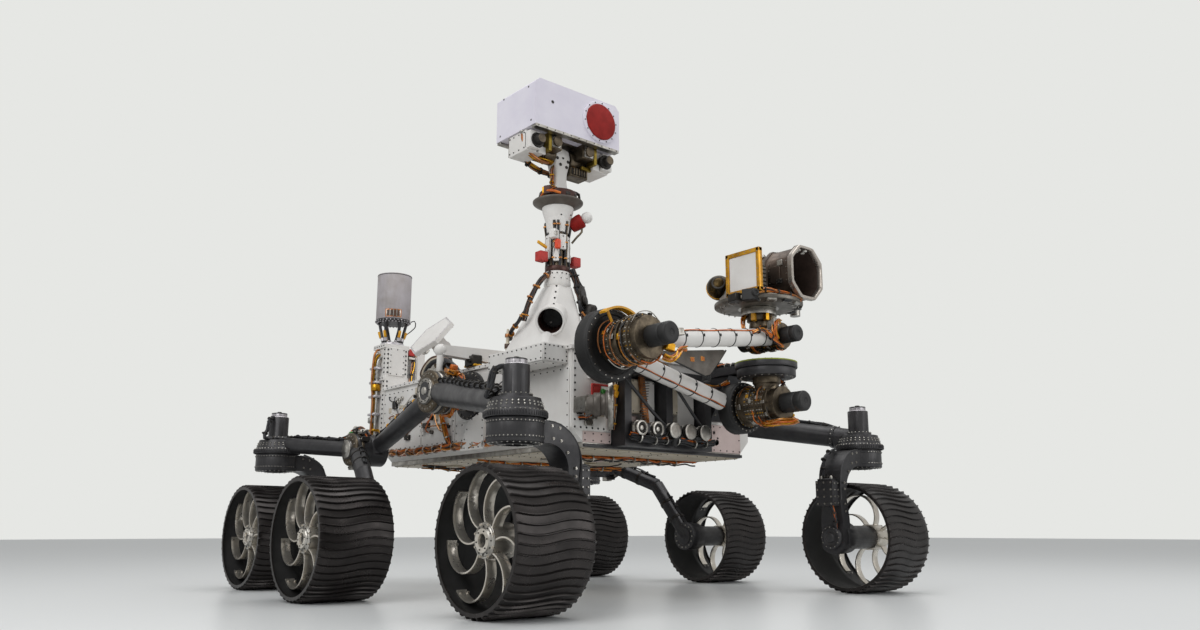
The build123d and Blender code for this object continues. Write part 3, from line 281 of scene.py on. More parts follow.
def frames_along(line):
    """Two directions square to a line at each of its points, that turn as little as they can."""
    ahead = np.gradient(line, axis=0)
    ahead /= np.maximum(norm(ahead, axis=1), 1e-9)[:, None]
    side = np.cross(ahead[0], UP if abs(ahead[0][2]) < 0.9 else (1, 0, 0))
    sides = []
    for direction in ahead:
        side = side - direction * (side @ direction)
        side /= norm(side)
        sides.append(side)
    sides = np.array(sides)
    return sides, np.cross(ahead, sides)


print("route test, points:", len(smooth_route([(0, 0, 0), (100, 0, 0), (100, 100, 0)])))


# %% Directions and circles
def unit(way):
    """A direction as an arrow of length one."""
    return np.array(way, float) / norm(way)


def square_to(axis):
    """Two directions square to an axis."""
    sides, ups = frames_along(np.array([np.zeros(3), axis]))
    return sides[0], ups[0]


def circle(side, up, corners):
    """The corners of a circle of radius one, in the plane of two directions."""
    turn = np.linspace(0, 2 * pi, corners, endpoint=False)
    return np.outer(np.cos(turn), side) + np.outer(np.sin(turn), up)


def ray(angle):
    """The level direction at an angle in radians, from +X towards +Y."""
    return np.array((cos(angle), sin(angle), 0.0))


def turns(count):
    """Angles in radians that share out one turn."""
    return [2 * pi * n / count for n in range(count)]


def band(low, high, inner, outer):
    """The profile of a plain band: its two heights and its two radii."""
    return [(low, inner), (low, outer), (high, outer), (high, inner)]


def flip(side, points):
    """A route on the left as it stands, or on the right with its x turned round."""
    return [(side * x, y, z) for x, y, z in points]


def patch(corner, along, across):
    """A flat patch as its corner, its three directions, its length and its width."""
    corner, along, across = (np.array(v, float) for v in (corner, along, across))
    long, wide = norm(along), norm(across)
    u, v = along / long, across / wide
    return corner, u, v, np.cross(u, v), long, wide


print("a fifth of a turn, radians:", round(turns(5)[1], 3))


# %% The workbench
class Piece:
    """One mesh in the making, in millimetres from a point that may be given as at."""

    def __init__(self, name, body, *finishes, at=(0, 0, 0)):
        self.name, self.body, self.finishes, self.at = name, body, finishes, at
        self.points, self.faces, self.paints = [], [], []

    def add(self, points, faces, paint=0):
        """Adds points and the faces between them, all with one finish."""
        start = len(self.points)
        self.points.extend(map(tuple, points))
        self.faces.extend(tuple(i + start for i in face) for face in faces)
        self.paints.extend([paint] * len(faces))

    def grid(self, rows, paint=0, closed=True, caps=False):
        """Joins rings of points, each ring a row, into a skin."""
        count, around = len(rows), len(rows[0])
        faces = []
        for r in range(count - 1):
            for i in range(around if closed else around - 1):
                here, after = r * around + i, r * around + (i + 1) % around
                faces.append((here, after, after + around, here + around))
        if caps:
            faces += [tuple(range(around))[::-1],
                tuple(range((count - 1) * around, count * around))]
        self.add([p for row in rows for p in row], faces, paint)

    def turned(self, base, axis, profile, paint=0, sides=40, ease=0.8, hollow=False):
        """Turns a profile of (height, radius) about an axis, with its corners eased."""
        base, axis = np.array(base, float), unit(axis)
        flat = [np.array(p, float) for p in profile]
        eased = [flat[0]]
        for before, here, after in zip(flat, flat[1:], flat[2:]):
            for other in (before, after):
                eased.append(here + (other - here) * min(0.4, ease / max(norm(other - here), 1e-6)))
        eased.append(flat[-1])
        ring = circle(*square_to(axis), sides)
        self.grid([base + axis * h + ring * max(r, 0.01) for h, r in eased], paint, caps=not hollow)

    def sweep(self, line, side, up, radius, paint, corners):
        """A tube of one width along a line of close points, with two directions at each."""
        rows = [c + circle(s, u, corners) * radius for c, s, u in zip(line, side, up)]
        self.grid(rows, paint, caps=True)

    def tube(self, route, radius, paint=0, sides=10, step=12.0):
        """A tube along a smooth route."""
        line = smooth_route(route, step) if len(route) > 2 else np.array(route, float)
        self.sweep(line, *frames_along(line), radius, paint, sides)

    def harness(self, route, count, wire, spread, paints=(0,), tie=None, tie_every=70, seed=1):
        """A bundle of wires that keep together along a route, with ties round them."""
        pick = random.Random(seed)
        line = smooth_route(route, 17.0)
        side, up = frames_along(line)
        run = np.concatenate([[0], np.cumsum(norm(np.diff(line, axis=0), axis=1))])
        for n in range(count):
            angle, out = pick.uniform(0, 2 * pi), spread * sqrt((n + 0.5) / count)
            phase, length = pick.uniform(0, 6.28), pick.uniform(90, 210)
            twist = angle + 0.5 * np.sin(run / length * 6.28 + phase)
            swell = out * (1 + 0.18 * np.sin(run / length * 4.1 + 2 * phase))
            right, high = np.cos(twist) * swell, np.sin(twist) * swell
            path = line + side * right[:, None] + up * high[:, None]
            self.sweep(path, side, up, wire, paints[n % len(paints)], 5)
        if tie is None:
            return
        ring = band(-3, 3, spread, spread + wire + 1.5)
        for at in np.arange(tie_every * 0.5, run[-1], tie_every):
            i = int(np.searchsorted(run, at))
            if 0 < i < len(line) - 1:
                place = line[i - 1] * 0.3 + line[i] * 0.7
                self.turned(place, line[i + 1] - line[i - 1], ring, tie, 10, 0.6)

    def box(self, middle, size, paint=0, ease=2.0, turn=(0, 0, 0), steps=1, axes=None):
        """A block with eased edges, turned by angles in degrees or set along three directions."""
        shape = bmesh.new()
        bmesh.ops.create_cube(shape, size=1)
        bmesh.ops.scale(shape, vec=size, verts=shape.verts)
        cut = {"offset": min(ease, min(size) * 0.3), "segments": steps, "profile": 0.6}
        bmesh.ops.bevel(shape, geom=shape.edges, affect="EDGES", **cut)
        spin = Matrix.Identity(3)
        for angle, axis in zip(turn, "XYZ"):
            spin = Matrix.Rotation(radians(angle), 3, axis) @ spin
        if axes is not None:
            spin = Matrix([tuple(a) for a in axes]).transposed()
        points = [spin @ v.co + Vector(middle) for v in shape.verts]
        self.add(points, [[v.index for v in f.verts] for f in shape.faces], paint)
        shape.free()

    def sheet(self, corner, along, across, thick, paint, bolt_paint, pitch, inset=10, size=3.2):
        """A thin panel on the two edges given, with a row of bolts along each side."""
        corner, u, v, w, long, wide = patch(corner, along, across)
        middle = corner + (u * long + v * wide) / 2 + w * thick / 2
        self.box(middle, (long, wide, thick), paint, 1.2, axes=(u, v, w))
        spots = []
        for way, other, reach, far in ((u, v, long, wide), (v, u, wide, long)):
            count = max(2, round((reach - 2 * inset) / pitch) + 1)
            steps = [way * (inset + (reach - 2 * inset) * n / (count - 1)) for n in range(count)]
            spots += [corner + w * thick + other * edge + s for edge in (inset, far - inset)
                for s in steps]
        self.bolts(spots, w, size, 2.6, bolt_paint)

    def clutter(self, corner, along, across, count, paints, height, size, seed, wires,
            wire, jackets):
        """Small housings, connectors and loose-looking wires set out over a flat patch."""
        pick = random.Random(seed)
        corner, u, v, w, long, wide = patch(corner, along, across)
        for _ in range(count):
            a, b, c = pick.uniform(*size), pick.uniform(*size) * 0.7, pick.uniform(*height)
            a, b = min(a, long * 0.8), min(b, wide * 0.8)
            right, deep = pick.uniform(a / 2, long - a / 2), pick.uniform(b / 2, wide - b / 2)
            spot = corner + u * right + v * deep
            paint, kind = pick.choice(paints), pick.random()
            if kind < 0.72:
                self.box(spot + w * c / 2, (a, b, c), paint, 1.5, axes=(u, v, w))
                if a > 24 and b > 16:
                    lid = [(i * (a / 2 - 5), j * (b / 2 - 5)) for i in (-1, 1) for j in (-1, 1)]
                    places = [spot + u * i + v * j + w * c for i, j in lid]
                    self.bolts(places, w, 1.9, 1.8, pick.choice(paints))
            else:
                r = min(a, b) * 0.4
                plug = [(0, 1), (0.7, 1), (0.7, 1.15), (1, 1.15), (1, 0.6), (0.8, 0.5)]
                self.turned(spot, w, [(c * h, r * k) for h, k in plug], paint, 12)
        for n in range(wires):
            spots = [(pick.uniform(0.02, 0.98) * long, pick.uniform(0.05, 0.95) * wide)
                for _ in range(2)]
            start, end = (corner + u * i + v * j for i, j in spots)
            mid, side = (start + end) / 2, np.cross(w, end - start)
            side /= max(norm(side), 1)
            sag, rise = side * pick.uniform(-18, 18), w * pick.uniform(6, height[1] + 6)
            early, late = start * 0.8 + mid * 0.2, end * 0.8 + mid * 0.2
            route = [start + w * 2, early + sag * 0.4 + rise, mid + sag + rise * 1.1]
            route += [late + sag * 0.3 + rise * 0.8, end + w * 2]
            self.tube(route, pick.uniform(0.8, 1.3) * wire, jackets[n % len(jackets)], 5, 22)

    def drive(self, base, axis, length, radius, metal, trim, jackets, seed=1):
        """A geared drive as it leaves the bench: flanges, teeth, connectors and lead wires."""
        pick = random.Random(seed)
        base, axis = np.array(base, float), unit(axis)
        side, up = square_to(axis)

        def block(angle, high, out, size, paint, ease):
            ahead = side * cos(angle) + up * sin(angle)
            axes = (ahead, np.cross(axis, ahead), axis)
            self.box(base + axis * high + ahead * out, size, paint, ease, axes=axes)

        at, profile, flanges = 0.0, [(0.0, radius * 0.5)], []
        while at < length - 4:
            step = min(pick.uniform(7, 20), length - at)
            r = radius * pick.choice((0.8, 0.86, 0.92, 0.97, 1.0))
            profile += [(at, r), (at + step, r)]
            flanges.append((at, step, r))
            at += step
        profile.append((length, radius * 0.4))
        self.turned(base, axis, profile, metal, 56, 0.7)
        for at, step, r in flanges:
            if r > radius * 0.9 and step > 8:
                for n, a in enumerate(turns(int(r * 0.45))):
                    tooth = (3.5, 4.5, step * 0.55)
                    block(a, at + step / 2, r, tooth, trim[n % len(trim)], 0.8)
        for n in range(int(length / 7)):
            a, h = pick.uniform(0, 6.28), pick.uniform(8, length - 8)
            size = pick.uniform(5, 11), pick.uniform(12, 26), pick.uniform(9, 22)
            block(a, h, radius * 0.9 + size[0] / 2, size, trim[n % len(trim)], 1.5)
        for n in range(max(3, int(length / 19))):
            a0, turn = pick.uniform(0, 6.28), pick.uniform(1.0, 2.8)
            h, route = pick.uniform(6, length - 10), []
            for k in range(7):
                a = a0 + turn * k / 6
                out = (side * cos(a) + up * sin(a)) * (radius * (0.98 + 0.09 * sin(pi * k / 6)))
                route.append(base + axis * (h + pick.uniform(-4, 4)) + out)
            self.tube(route, pick.uniform(2.0, 3.4), jackets[n % len(jackets)], 6, 16)

    def motor(self, base, axis, length, radius, paint):
        """A sealed motor can with a groove near its rounded end."""
        long, r = length, radius
        profile = [(0, r * 0.9), (6, r), (long * 0.62, r), (long * 0.64, r * 0.96),
            (long * 0.68, r * 0.96)]
        profile += [(long * 0.7, r), (long - 7, r), (long, r * 0.86), (long, r * 0.3)]
        profile += [(long - 3, r * 0.26), (long - 3, 0)]
        self.turned(base, axis, profile, paint, 56, 1.2)

    def bolts(self, places, axis, radius=4.5, height=4.0, paint=0):
        """Cap screws standing on each place, the larger ones with a washer and a socket."""
        axis = unit(axis)
        if radius > 3.5:
            corners, profile = 8, [(-1, 1.4), (0.8, 1.35), (0.8, 1), (height, 0.95), (height, 0.55)]
            profile.append((height * 0.5, 0.5))
        else:
            corners, profile = 6, [(-1, 1.15), (height, 0.9)]
        ring = circle(*square_to(axis), corners) * radius
        for place in places:
            self.grid([np.array(place, float) + axis * h + ring * r for h, r in profile],
                paint, caps=True)

    def bolt_circle(self, middle, axis, across, count, radius=4.5, height=4.0, paint=0, first=0.0):
        """Cap screws evenly round a circle, the first of them at an angle in degrees."""
        side, up = square_to(unit(axis))
        angles = [radians(first + 360.0 / count * n) for n in range(count)]
        spots = [middle + (side * cos(a) + up * sin(a)) * across / 2 for a in angles]
        self.bolts(spots, axis, radius, height, paint)

    def done(self, *replaced, slot=None, sharp=38):
        """Makes the mesh, smooths it up to its sharp edges, and hangs it on its body."""
        mesh = bpy.data.meshes.new(self.name)
        mesh.from_pydata(((np.array(self.points) + self.at) * 0.001).tolist(), [], self.faces)
        for paint in self.finishes:
            mesh.materials.append(paint)
        mesh.polygons.foreach_set("material_index", self.paints)
        mesh.polygons.foreach_set("use_smooth", [True] * len(self.paints))
        shape = bmesh.new()
        shape.from_mesh(mesh)
        bmesh.ops.recalc_face_normals(shape, faces=shape.faces)
        shape.to_mesh(mesh)
        shape.free()
        mesh.set_sharp_from_angle(angle=radians(sharp))
        made = in_scene(self.name, mesh)
        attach(made, self.body)
        if replaced:
            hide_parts(*replaced)
        counts[self.name] = sum(len(f) - 2 for f in self.faces)
        print(f"{self.name}: {counts[self.name]} triangles")


counts = {}
print("workbench ready")

# %% [markdown]
# ## The CAD solids
# Most solids of the model already have the right shape, so they stay and only get their real
# finish. A machined edge is never a knife edge: it is broken by a small chamfer, and that thin
# line catches the light. A Weld modifier joins the imported corners, and a Bevel modifier then
# eases each sharp edge without touching the mesh itself.

# %% Finish the CAD solids
FINISH_OF = (
    # finish, slot, start of the solids' names
    (white_paint, "white_paint",
        ("body_shell", "deck", "mast_foot", "mast_tube", "mast_neck", "upper_arm", "forearm")),
    (white_paint, "white_paint", ("relay_tower", "heat_exchanger", "dish", "differential_bar")),
    (brown_metal, "white_paint", ("camera_bar",)),
    (head_paint, "grey_paint", ("head_box",)),
    (grey_paint, "grey_paint", ("relay_antenna",)),
    (brown_metal, "bare_metal", ("dish_post",)),
    (bare_metal, "bare_metal", ("belly_pan", "arm_bracket", "antenna_stalk", "source_mount",
        "payload_plate", "docking_disc", "turret_plate")),
    (dark_housing, "dark_housing", ("shoulder", "wrist", "turret_drill", "dish_turntable")),
    (gold_metal, "gold", ("turret_sensor",)),
    (titanium, "titanium", ("wheel_hub",)),
    (black_anodised, "black_anodised", ("rocker", "bogie", "leg", "front_bay")),
)
for paint, record_slot, starts in FINISH_OF:
    for name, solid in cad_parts.items():
        if name.startswith(starts):
            solid.data.materials.clear()
            solid.data.materials.append(paint)
for name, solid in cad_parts.items():
    weld = solid.modifiers.new("weld", "WELD")
    weld.merge_threshold = 0.00002
    ease = solid.modifiers.new("eased_edges", "BEVEL")
    ease.width = 0.0022
    ease.segments = 2
    ease.limit_method = "ANGLE"
    ease.angle_limit = radians(42)
    ease.harden_normals = True
print("CAD solids finished:", len(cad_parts))

# %% [markdown]
# ## Wheels
# Each wheel is one piece of aluminium, machined as thin as a plate, with 48 lugs across its
# tread. The lugs run in a gentle S from edge to edge, so that some lug always bites. The CAD
# model has straight lugs. Here the tread is a fine grid of points: one direction walks round the
# wheel over each lug in turn, the other walks across the width and slides the lugs sideways in
# an S. It stands in for the CAD rim and has the same width and diameter.

# %% The tread
AXLE_Z, TREAD_RADIUS, LUG_RISE, LUGS, TREAD_WIDTH, WALL = 263, 254.0, 9.0, 48, 330.0, 7.0
# Where in one pitch, and how high there: the foot, flank and crest of a lug, then the plain tread
LUG_SHAPE = ((0.0, 0.0), (0.045, 0.62), (0.1, 1.0), (0.17, 1.0), (0.225, 0.62), (0.27, 0.0),
    (0.5, -0.06), (0.75, -0.06))
PLACES = (
    ("front_left", 1, 1060, -1100),
    ("front_right", -1, 1060, -1100),
    ("middle_left", 1, 1210, 35),
    ("middle_right", -1, 1210, 35),
    ("rear_left", 1, 1060, 1065),
    ("rear_right", -1, 1060, 1065),
)


def tread(place, side, middle_x, y):
    rim = Piece(f"tread_{place}", f"wheel_{place}", wheel_black, shroud_black)
    shares = np.array([(n + share) / LUGS for n in range(LUGS) for share, _ in LUG_SHAPE]) * 2 * pi
    rises = np.array([rise for _ in range(LUGS) for _, rise in LUG_SHAPE]) * LUG_RISE
    rows = []
    inside = TREAD_RADIUS - WALL

    def ring(x, radius, shift=0.0, share=0.0):
        turn = shares + shift
        r = radius + rises * share
        xs = np.full(len(turn), side * (middle_x + x))
        return np.stack([xs, y + np.cos(turn) * r, AXLE_Z + np.sin(turn) * r], axis=1)

    half = TREAD_WIDTH / 2
    across = np.concatenate([[-1, -0.985], np.linspace(-0.95, 0.95, 21), [0.985, 1]])
    for x in (-half + 6, -half + 0.5):
        rows.append(ring(x, inside - 9, sway(-1)))
    for s in across:
        crown = TREAD_RADIUS - 2.2 * max(0.0, (abs(s) - 0.9) / 0.1) ** 2
        rise = 0.55 + 0.45 * min(1.0, (1 - abs(s)) / 0.05)
        rows.append(ring(s * half, crown, sway(s), rise))
    # Depth below the outer edge, and how far the ring lies inside the wall
    for depth, step in ((0.5, 9), (6, 9), (7, 0), (90, 0), (96, 4), (128, 4), (134, 0),
            (TREAD_WIDTH - 7, 0)):
        x = half - depth
        rows.append(ring(x, inside - step, sway(1) if x > 0 else sway(-1)))
    rows.append(rows[0])
    rim.grid(rows)
    # From here on the rim's inside is painted black polymer: painted shade inside the wheel, which
    # is one aluminium piece.
    outer = (len(across) + 3) * len(shares)
    rim.paints[outer:] = [1] * (len(rim.paints) - outer)
    rim.done(f"wheel_rim_{place}", slot="black_anodised", sharp=50)


def sway(s):
    """How far round the wheel a lug has slid, from -1 at the inner edge to 1 at the outer."""
    return 0.3 * 2 * pi / LUGS * sin(pi * s)


for place, side, middle_x, y in PLACES:
    tread(place, side, middle_x, y)

# %% [markdown]
# ## Hubs
# Eight titanium strips bow out from each hub to the rim and flex over rocks. The CAD strips stay.
# The hub in their middle is a stack of turned rings with two circles of bolts, and the motor's
# dark end shows in its bore. Turned metal is best made the way a lathe makes it, as one profile
# swept round an axis.

# %% The hub caps
for place, side, middle_x, y in PLACES:
    face = middle_x + TREAD_WIDTH / 2 - 47
    cap = Piece(f"hub_cap_{place}", f"wheel_{place}", bare_metal, dark_housing, titanium)
    start = (side * face, y, AXLE_Z)
    out = (side, 0, 0)
    cap.turned(start, out, [(-2, 62), (3, 62), (3, 54), (7, 52), (7, 44), (13.5, 42), (13.5, 25),
        (4, 24), (-30, 24)], 0, 56)
    cap.turned(start, out, [(-30, 23), (2, 23), (5, 20), (5, 8), (8, 7), (8, 0)], 1, 32)
    cap.bolt_circle((side * (face + 3), y, AXLE_Z), out, 116, 8, 4.2, 4.5, 2, 22.5)
    cap.bolt_circle((side * (face + 7), y, AXLE_Z), out, 96, 12, 2.8, 3, 1)
    cap.bolt_circle((side * (face + 13.5), y, AXLE_Z), out, 66, 6, 3, 3, 1, 10)
    for n in range(8):
        angle = radians(n * 45 + 41.25)
        for across in (-15, 15):
            foot = (side * (face - 25 + across), y + cos(angle) * 239.5,
                AXLE_Z + sin(angle) * 239.5)
            cap.bolts([foot], (0, -cos(angle), -sin(angle)), 4, 4, 0)
    cap.done()

# %% [markdown]
# ## Cable jackets and glass
# Flight wiring shows as bundles of thin wires in a few colours: orange and gold polyimide tape,
# copper, black braid, and white. Polyimide is a glossy amber film over metal, so it gets a clear
# coat on a darker base. Braid is drawn by two crossing waves, 2 mm apart, which is coarser than
# real braid so that it shows.


# %% Wires and tape
def jacket(name, colour, second, roughness=0.4, braid_mm=0.0, metallic=0.0, coat=0.0):
    """A wire's jacket, a tape or a plate, plain or with a braid."""
    made, tree = new_material(name)
    place = node(tree, "ShaderNodeTexCoord")
    drift = node(tree, "ShaderNodeTexNoise",
        {"Vector": place.outputs["Object"], "Scale": 1000 / 35, "Detail": 3.0})
    wide = node(tree, "ShaderNodeMapRange",
        {"Value": drift.outputs["Fac"], "From Min": 0.36, "From Max": 0.64})
    tint = node(tree, "ShaderNodeMix",
        {"Factor": wide.outputs[0], "A": linear(colour), "B": linear(second)}, data_type="RGBA")
    height = drift.outputs["Fac"]
    if braid_mm:
        waves = []
        for turn in (0.8, -0.8):
            slant = {"Vector": place.outputs["Object"], "Rotation": (0.6, turn, 0.0)}
            slanted = node(tree, "ShaderNodeMapping", slant).outputs[0]
            drawn = {"Vector": slanted, "Scale": 1000 / braid_mm / 20, "Distortion": 1.5}
            waves.append(node(tree, "ShaderNodeTexWave", drawn).outputs["Fac"])
        height = node(tree, "ShaderNodeMath", {0: waves[0], 1: waves[1]},
            operation="MAXIMUM").outputs[0]
    bump = node(tree, "ShaderNodeBump", {"Height": height, "Strength": 0.35, "Distance": 0.0006})
    shader = node(tree, "ShaderNodeBsdfPrincipled",
        {"Base Color": tint.outputs["Result"], "Roughness": roughness, "Metallic": metallic,
        "Coat Weight": coat, "Normal": bump.outputs[0]})
    node(tree, "ShaderNodeOutputMaterial", {"Surface": shader.outputs[0]})
    return made


amber_tape = jacket("amber_polyimide_tape", "#c9831d", "#9a5a10", 0.25, metallic=0.45, coat=0.6)
orange_wire = jacket("orange_wire", "#cf6d1c", "#b4540f", 0.4)
copper_wire = jacket("copper_braid", "#b0764a", "#8a5734", 0.35, braid_mm=2.0, metallic=0.8)
black_braid = jacket("black_braid", "#1b1b1d", "#26262a", 0.5, braid_mm=2.0)
brown_wire = jacket("brown_wire", "#5a3a28", "#3f2a1e", 0.45)
white_wire = jacket("white_wire", "#d9d6cf", "#c7c2b8", 0.4)
silver_wire = jacket("silver_braid", "#b5b4b0", "#8d8c88", 0.3, braid_mm=2.0, metallic=0.9)
yellow_tag = jacket("yellow_tag", "#e0a51a", "#d0900f", 0.45)
red_tag = jacket("red_cloth_cover", "#b8332c", "#a02520", 0.6)
signal_red = jacket("signal_red_block", "#e04a22", "#d03a18", 0.45)
lens_glass = finish("coated_lens_glass", "#0b0f18", "#16120c", 0.08, cloud_mm=20, grain_mm=8,
    grain=0.01, ior=1.52, coat=1.0)
drum_brown = finish("brown_anodising", "#4b2f29", "#3c2520", 0.42, metallic=0.5, cloud_mm=30,
    grain_mm=1.8, grain=0.12)
saucer_grey = finish("grey_hard_coating", "#6a645d", "#59534d", 0.46, metallic=0.35, cloud_mm=50,
    grain_mm=1.8, grain=0.12)
olive_gold = finish("olive_chromate", "#8a7632", "#6e5c24", 0.35, metallic=0.9, cloud_mm=25,
    grain_mm=1.5, grain=0.15)
LEADS = (orange_wire, amber_tape, copper_wire)
print("materials:", len(bpy.data.materials))

# %% [markdown]
# ## The camera head
# The head is a folded sheet box with a round window at its left end, shut by a red dust cover
# inside a ring of bolts. Under it hang two navigation cameras on white brackets, and between
# them the tilt motor. Everything here rides on the tilting head.

# %% Window and head box details
# Where the mast stands, then heights from the floor and the head's front from the mast's axis
MAST = (-455.0, -560.0, 0.0)
HEAD_LOW, HEAD_FRONT = 2066.0, -150.0
TILT_Z = 2010.0
window = Piece("window_cover", "mast_head", red_cover, head_paint, bare_metal,
    dark_housing, at=MAST)
eye = (128, HEAD_FRONT, HEAD_LOW + 112.5)
window.turned(eye, FRONT, [(4, 87), (12, 87), (14, 84), (14, 0)], 0, 72)
window.turned(eye, FRONT, [(-1, 104), (6.5, 103), (7.5, 101), (7.5, 88), (3, 88)], 1, 12, 1.5)
window.bolt_circle((eye[0], eye[1] - 6.5, eye[2]), FRONT, 191, 14, 3.4, 3.0, 3, 8)
window.turned((-152, HEAD_FRONT, HEAD_LOW + 130), FRONT, [(-1, 8), (1, 8), (1.4, 0)], 3, 20)
for y, z in ((HEAD_FRONT + 52, 192), (HEAD_FRONT + 246, 200), (HEAD_FRONT + 30, 24),
        (HEAD_FRONT + 270, 24)):
    window.turned((-250, y, HEAD_LOW + z), (-1, 0, 0), [(-1, 5), (0.8, 5), (1, 0)], 3, 14)
    window.turned((250, y, HEAD_LOW + z), (1, 0, 0), [(-1, 5), (0.8, 5), (1, 0)], 3, 14)
window.box((0, HEAD_FRONT + 14, HEAD_LOW - 4), (492, 34, 14), 2, 1.5)
window.box((0, HEAD_FRONT + 286, HEAD_LOW - 4), (492, 26, 14), 2, 1.5)
window.bolts([(x, HEAD_FRONT - 3, HEAD_LOW - 4) for x in range(-230, 240, 46)], FRONT, 2.6, 2.5, 3)
window.done(slot="white_paint")

# %% Cameras and tilt motor
cameras = Piece("camera_brackets", "mast_head", white_paint, dark_housing, olive_gold, bare_metal,
    lens_glass, brown_metal, copper_wire, gold_metal, at=MAST)
for side in (-1, 1):
    x = side * 194
    lens_x = side * 201.4
    lens_z = HEAD_LOW - 54
    cameras.box((x, -8, HEAD_LOW - 50), (96, 138, 100), 0, 6, steps=2)
    cameras.box((x + side * 20, -84, HEAD_LOW - 52), (56, 44, 82), 0, 5, steps=2)
    cameras.box((x - side * 34, -82, HEAD_LOW - 84), (40, 12, 34), 0, 2)
    cameras.turned((lens_x, -100, lens_z), FRONT,
        [(0, 35), (10, 35), (12, 32), (12, 24), (36, 23), (41, 21), (41, 15), (34, 13)], 1, 40)
    cameras.turned((lens_x, -100, lens_z), FRONT,
        [(30, 15.5), (38, 15.5), (38, 10), (34, 10)], 7, 32)
    cameras.turned((lens_x, -100, lens_z), FRONT, [(30, 13), (35, 12.5), (37, 8), (37.6, 0)], 4, 28)
    cameras.bolt_circle((lens_x, -110, lens_z), FRONT, 60, 6, 2, 2, 3)
    cameras.bolts([(x + side * dx, -77, HEAD_LOW - dz)
        for dx, dz in ((-38, 12), (-38, 40), (-10, 92), (-30, 92))], FRONT, 3, 3, 1)
    cameras.bolts([(x + side * 48, dy, HEAD_LOW - dz) for dy in (-60, -20, 20, 50)
        for dz in (14, 86)], (side, 0, 0), 3.2, 3, 1)
    cameras.box((side * 134, -84, HEAD_LOW - 44), (18, 58, 88), 2, 2)
    cameras.box((side * 96, -76, HEAD_LOW - 36), (62, 62, 62), 5, 2)
    cameras.box((side * 96, -110, HEAD_LOW - 36), (52, 6, 50), 3, 1.5)
    cameras.bolts([(side * (96 + dx), -113, HEAD_LOW - 36 + dz) for dx in (-21, 21)
        for dz in (-20, 20)], FRONT, 2.4, 2, 1)
    for n in range(7):
        cameras.turned((side * (58 + 13 * n), 0, TILT_Z - 2), (side, 0, 0), band(0, 6, 30, 43),
            5 if n % 3 else 1, 32, 0.8)
    cameras.box((side * 100, -30, TILT_Z - 44), (88, 22, 12), 7, 2, turn=(-25, 0, 0))
cameras.box((92, -8, TILT_Z - 62), (104, 70, 44), 5, 3)
cameras.box((92, -44, TILT_Z - 60), (92, 8, 30), 1, 1.5)
for n in range(6):
    cameras.box((56 + n * 15, -49, TILT_Z - 60), (7, 6, 32), 5, 1)
cameras.box((120, -56, TILT_Z - 40), (58, 16, 16), 2, 1.5)
cameras.tube([(-236, -40, 2058), (-240, -44, 2030), (-214, -52, 1976), (-150, -52, 1948),
    (-90, -36, 1954)], 7, 6, 12)
cameras.tube([(-226, -20, 2058), (-228, -24, 2020), (-190, -30, 1966), (-110, -24, 1950)], 5, 7, 10)
cameras.turned((-236, -40, 2066), DOWN, [(0, 15), (6, 15), (8, 10), (20, 9)], 3, 20)
cameras.harness([(-170, 40, 1980), (-110, 55, 1955), (20, 60, 1948), (110, 54, 1960),
    (180, 40, 1990)], 14, 3.2, 13, (6, 1, 7), tie=1, seed=4)
cameras.done(slot="bare_metal")

# %% [markdown]
# ## The neck
# The neck turns on the mast. A brown drum on a wide grey saucer holds the turning gear, and a
# white cast yoke narrows upward from it to the tilt axis. The yoke is a skin over a stack of
# rounded rectangles, which is how a casting drawing describes such a shape, too.


# %% Yoke, drum and saucer
def rounded(z, wide, deep, corner, count=8):
    """A rounded rectangle lying level, as a ring of points."""
    ring = []
    for cx, cy, start in ((1, 1, 0), (-1, 1, 90), (-1, -1, 180), (1, -1, 270)):
        for n in range(count):
            a = radians(start + 90 * n / (count - 1))
            middle = (cx * (wide / 2 - corner), cy * (deep / 2 - corner), z)
            ring.append(middle + corner * ray(a))
    return ring


SAUCER_Z = 1762.3
neck = Piece("neck", "mast_pan", white_paint, drum_brown, saucer_grey, dark_housing, brown_metal,
    orange_wire, black_braid, gold_metal, at=MAST)
neck.turned((0, 0, SAUCER_Z), UP,
    [(0, 74), (0, 79), (8, 92), (20, 114), (24, 117.5), (30, 117.5), (30, 80)], 2, 72)
neck.turned((0, 0, SAUCER_Z + 30), UP,
    [(0, 84), (6, 88), (40, 88), (44, 84), (46, 70), (46, 30)], 1, 64)
neck.turned((0, 0, SAUCER_Z + 30), UP, [(0, 96), (4, 96), (6, 90), (6, 85)], 4, 64)
neck.bolt_circle((0, 0, SAUCER_Z + 34), UP, 208, 24, 3, 3, 3)
for n in range(10):
    a = radians(36 * n + 12)
    neck.box((0, 0, SAUCER_Z + 52) + 87 * ray(a), (6, 26, 16), 3, 1.5, turn=(0, 0, 36 * n + 12))
YOKE = ((1838, 104, 78, 16), (1850, 104, 78, 16), (1856, 74, 66, 14), (1890, 62, 60, 12),
    (1930, 66, 62, 12), (1968, 84, 68, 12), (2010, 90, 74, 12), (2040, 90, 70, 20),
    (2052, 70, 50, 20))
neck.grid([rounded(z, wide, deep, corner) for z, wide, deep, corner in YOKE], 0, caps=True)
for x, z in ((-32, 1996), (0, 2004), (30, 1990), (-14, 1968), (22, 1962)):
    neck.turned((x, -36, z), FRONT, [(-1, 8), (0.6, 8), (0.8, 0)], 3, 20)
neck.bolts([(x, -39, 1846) for x in (-42, -14, 14, 42)], FRONT, 4, 4, 4)
neck.bolts([(side * 52, y, 1846) for side in (-1, 1) for y in (-26, 0, 26)], UP, 4, 4, 4)
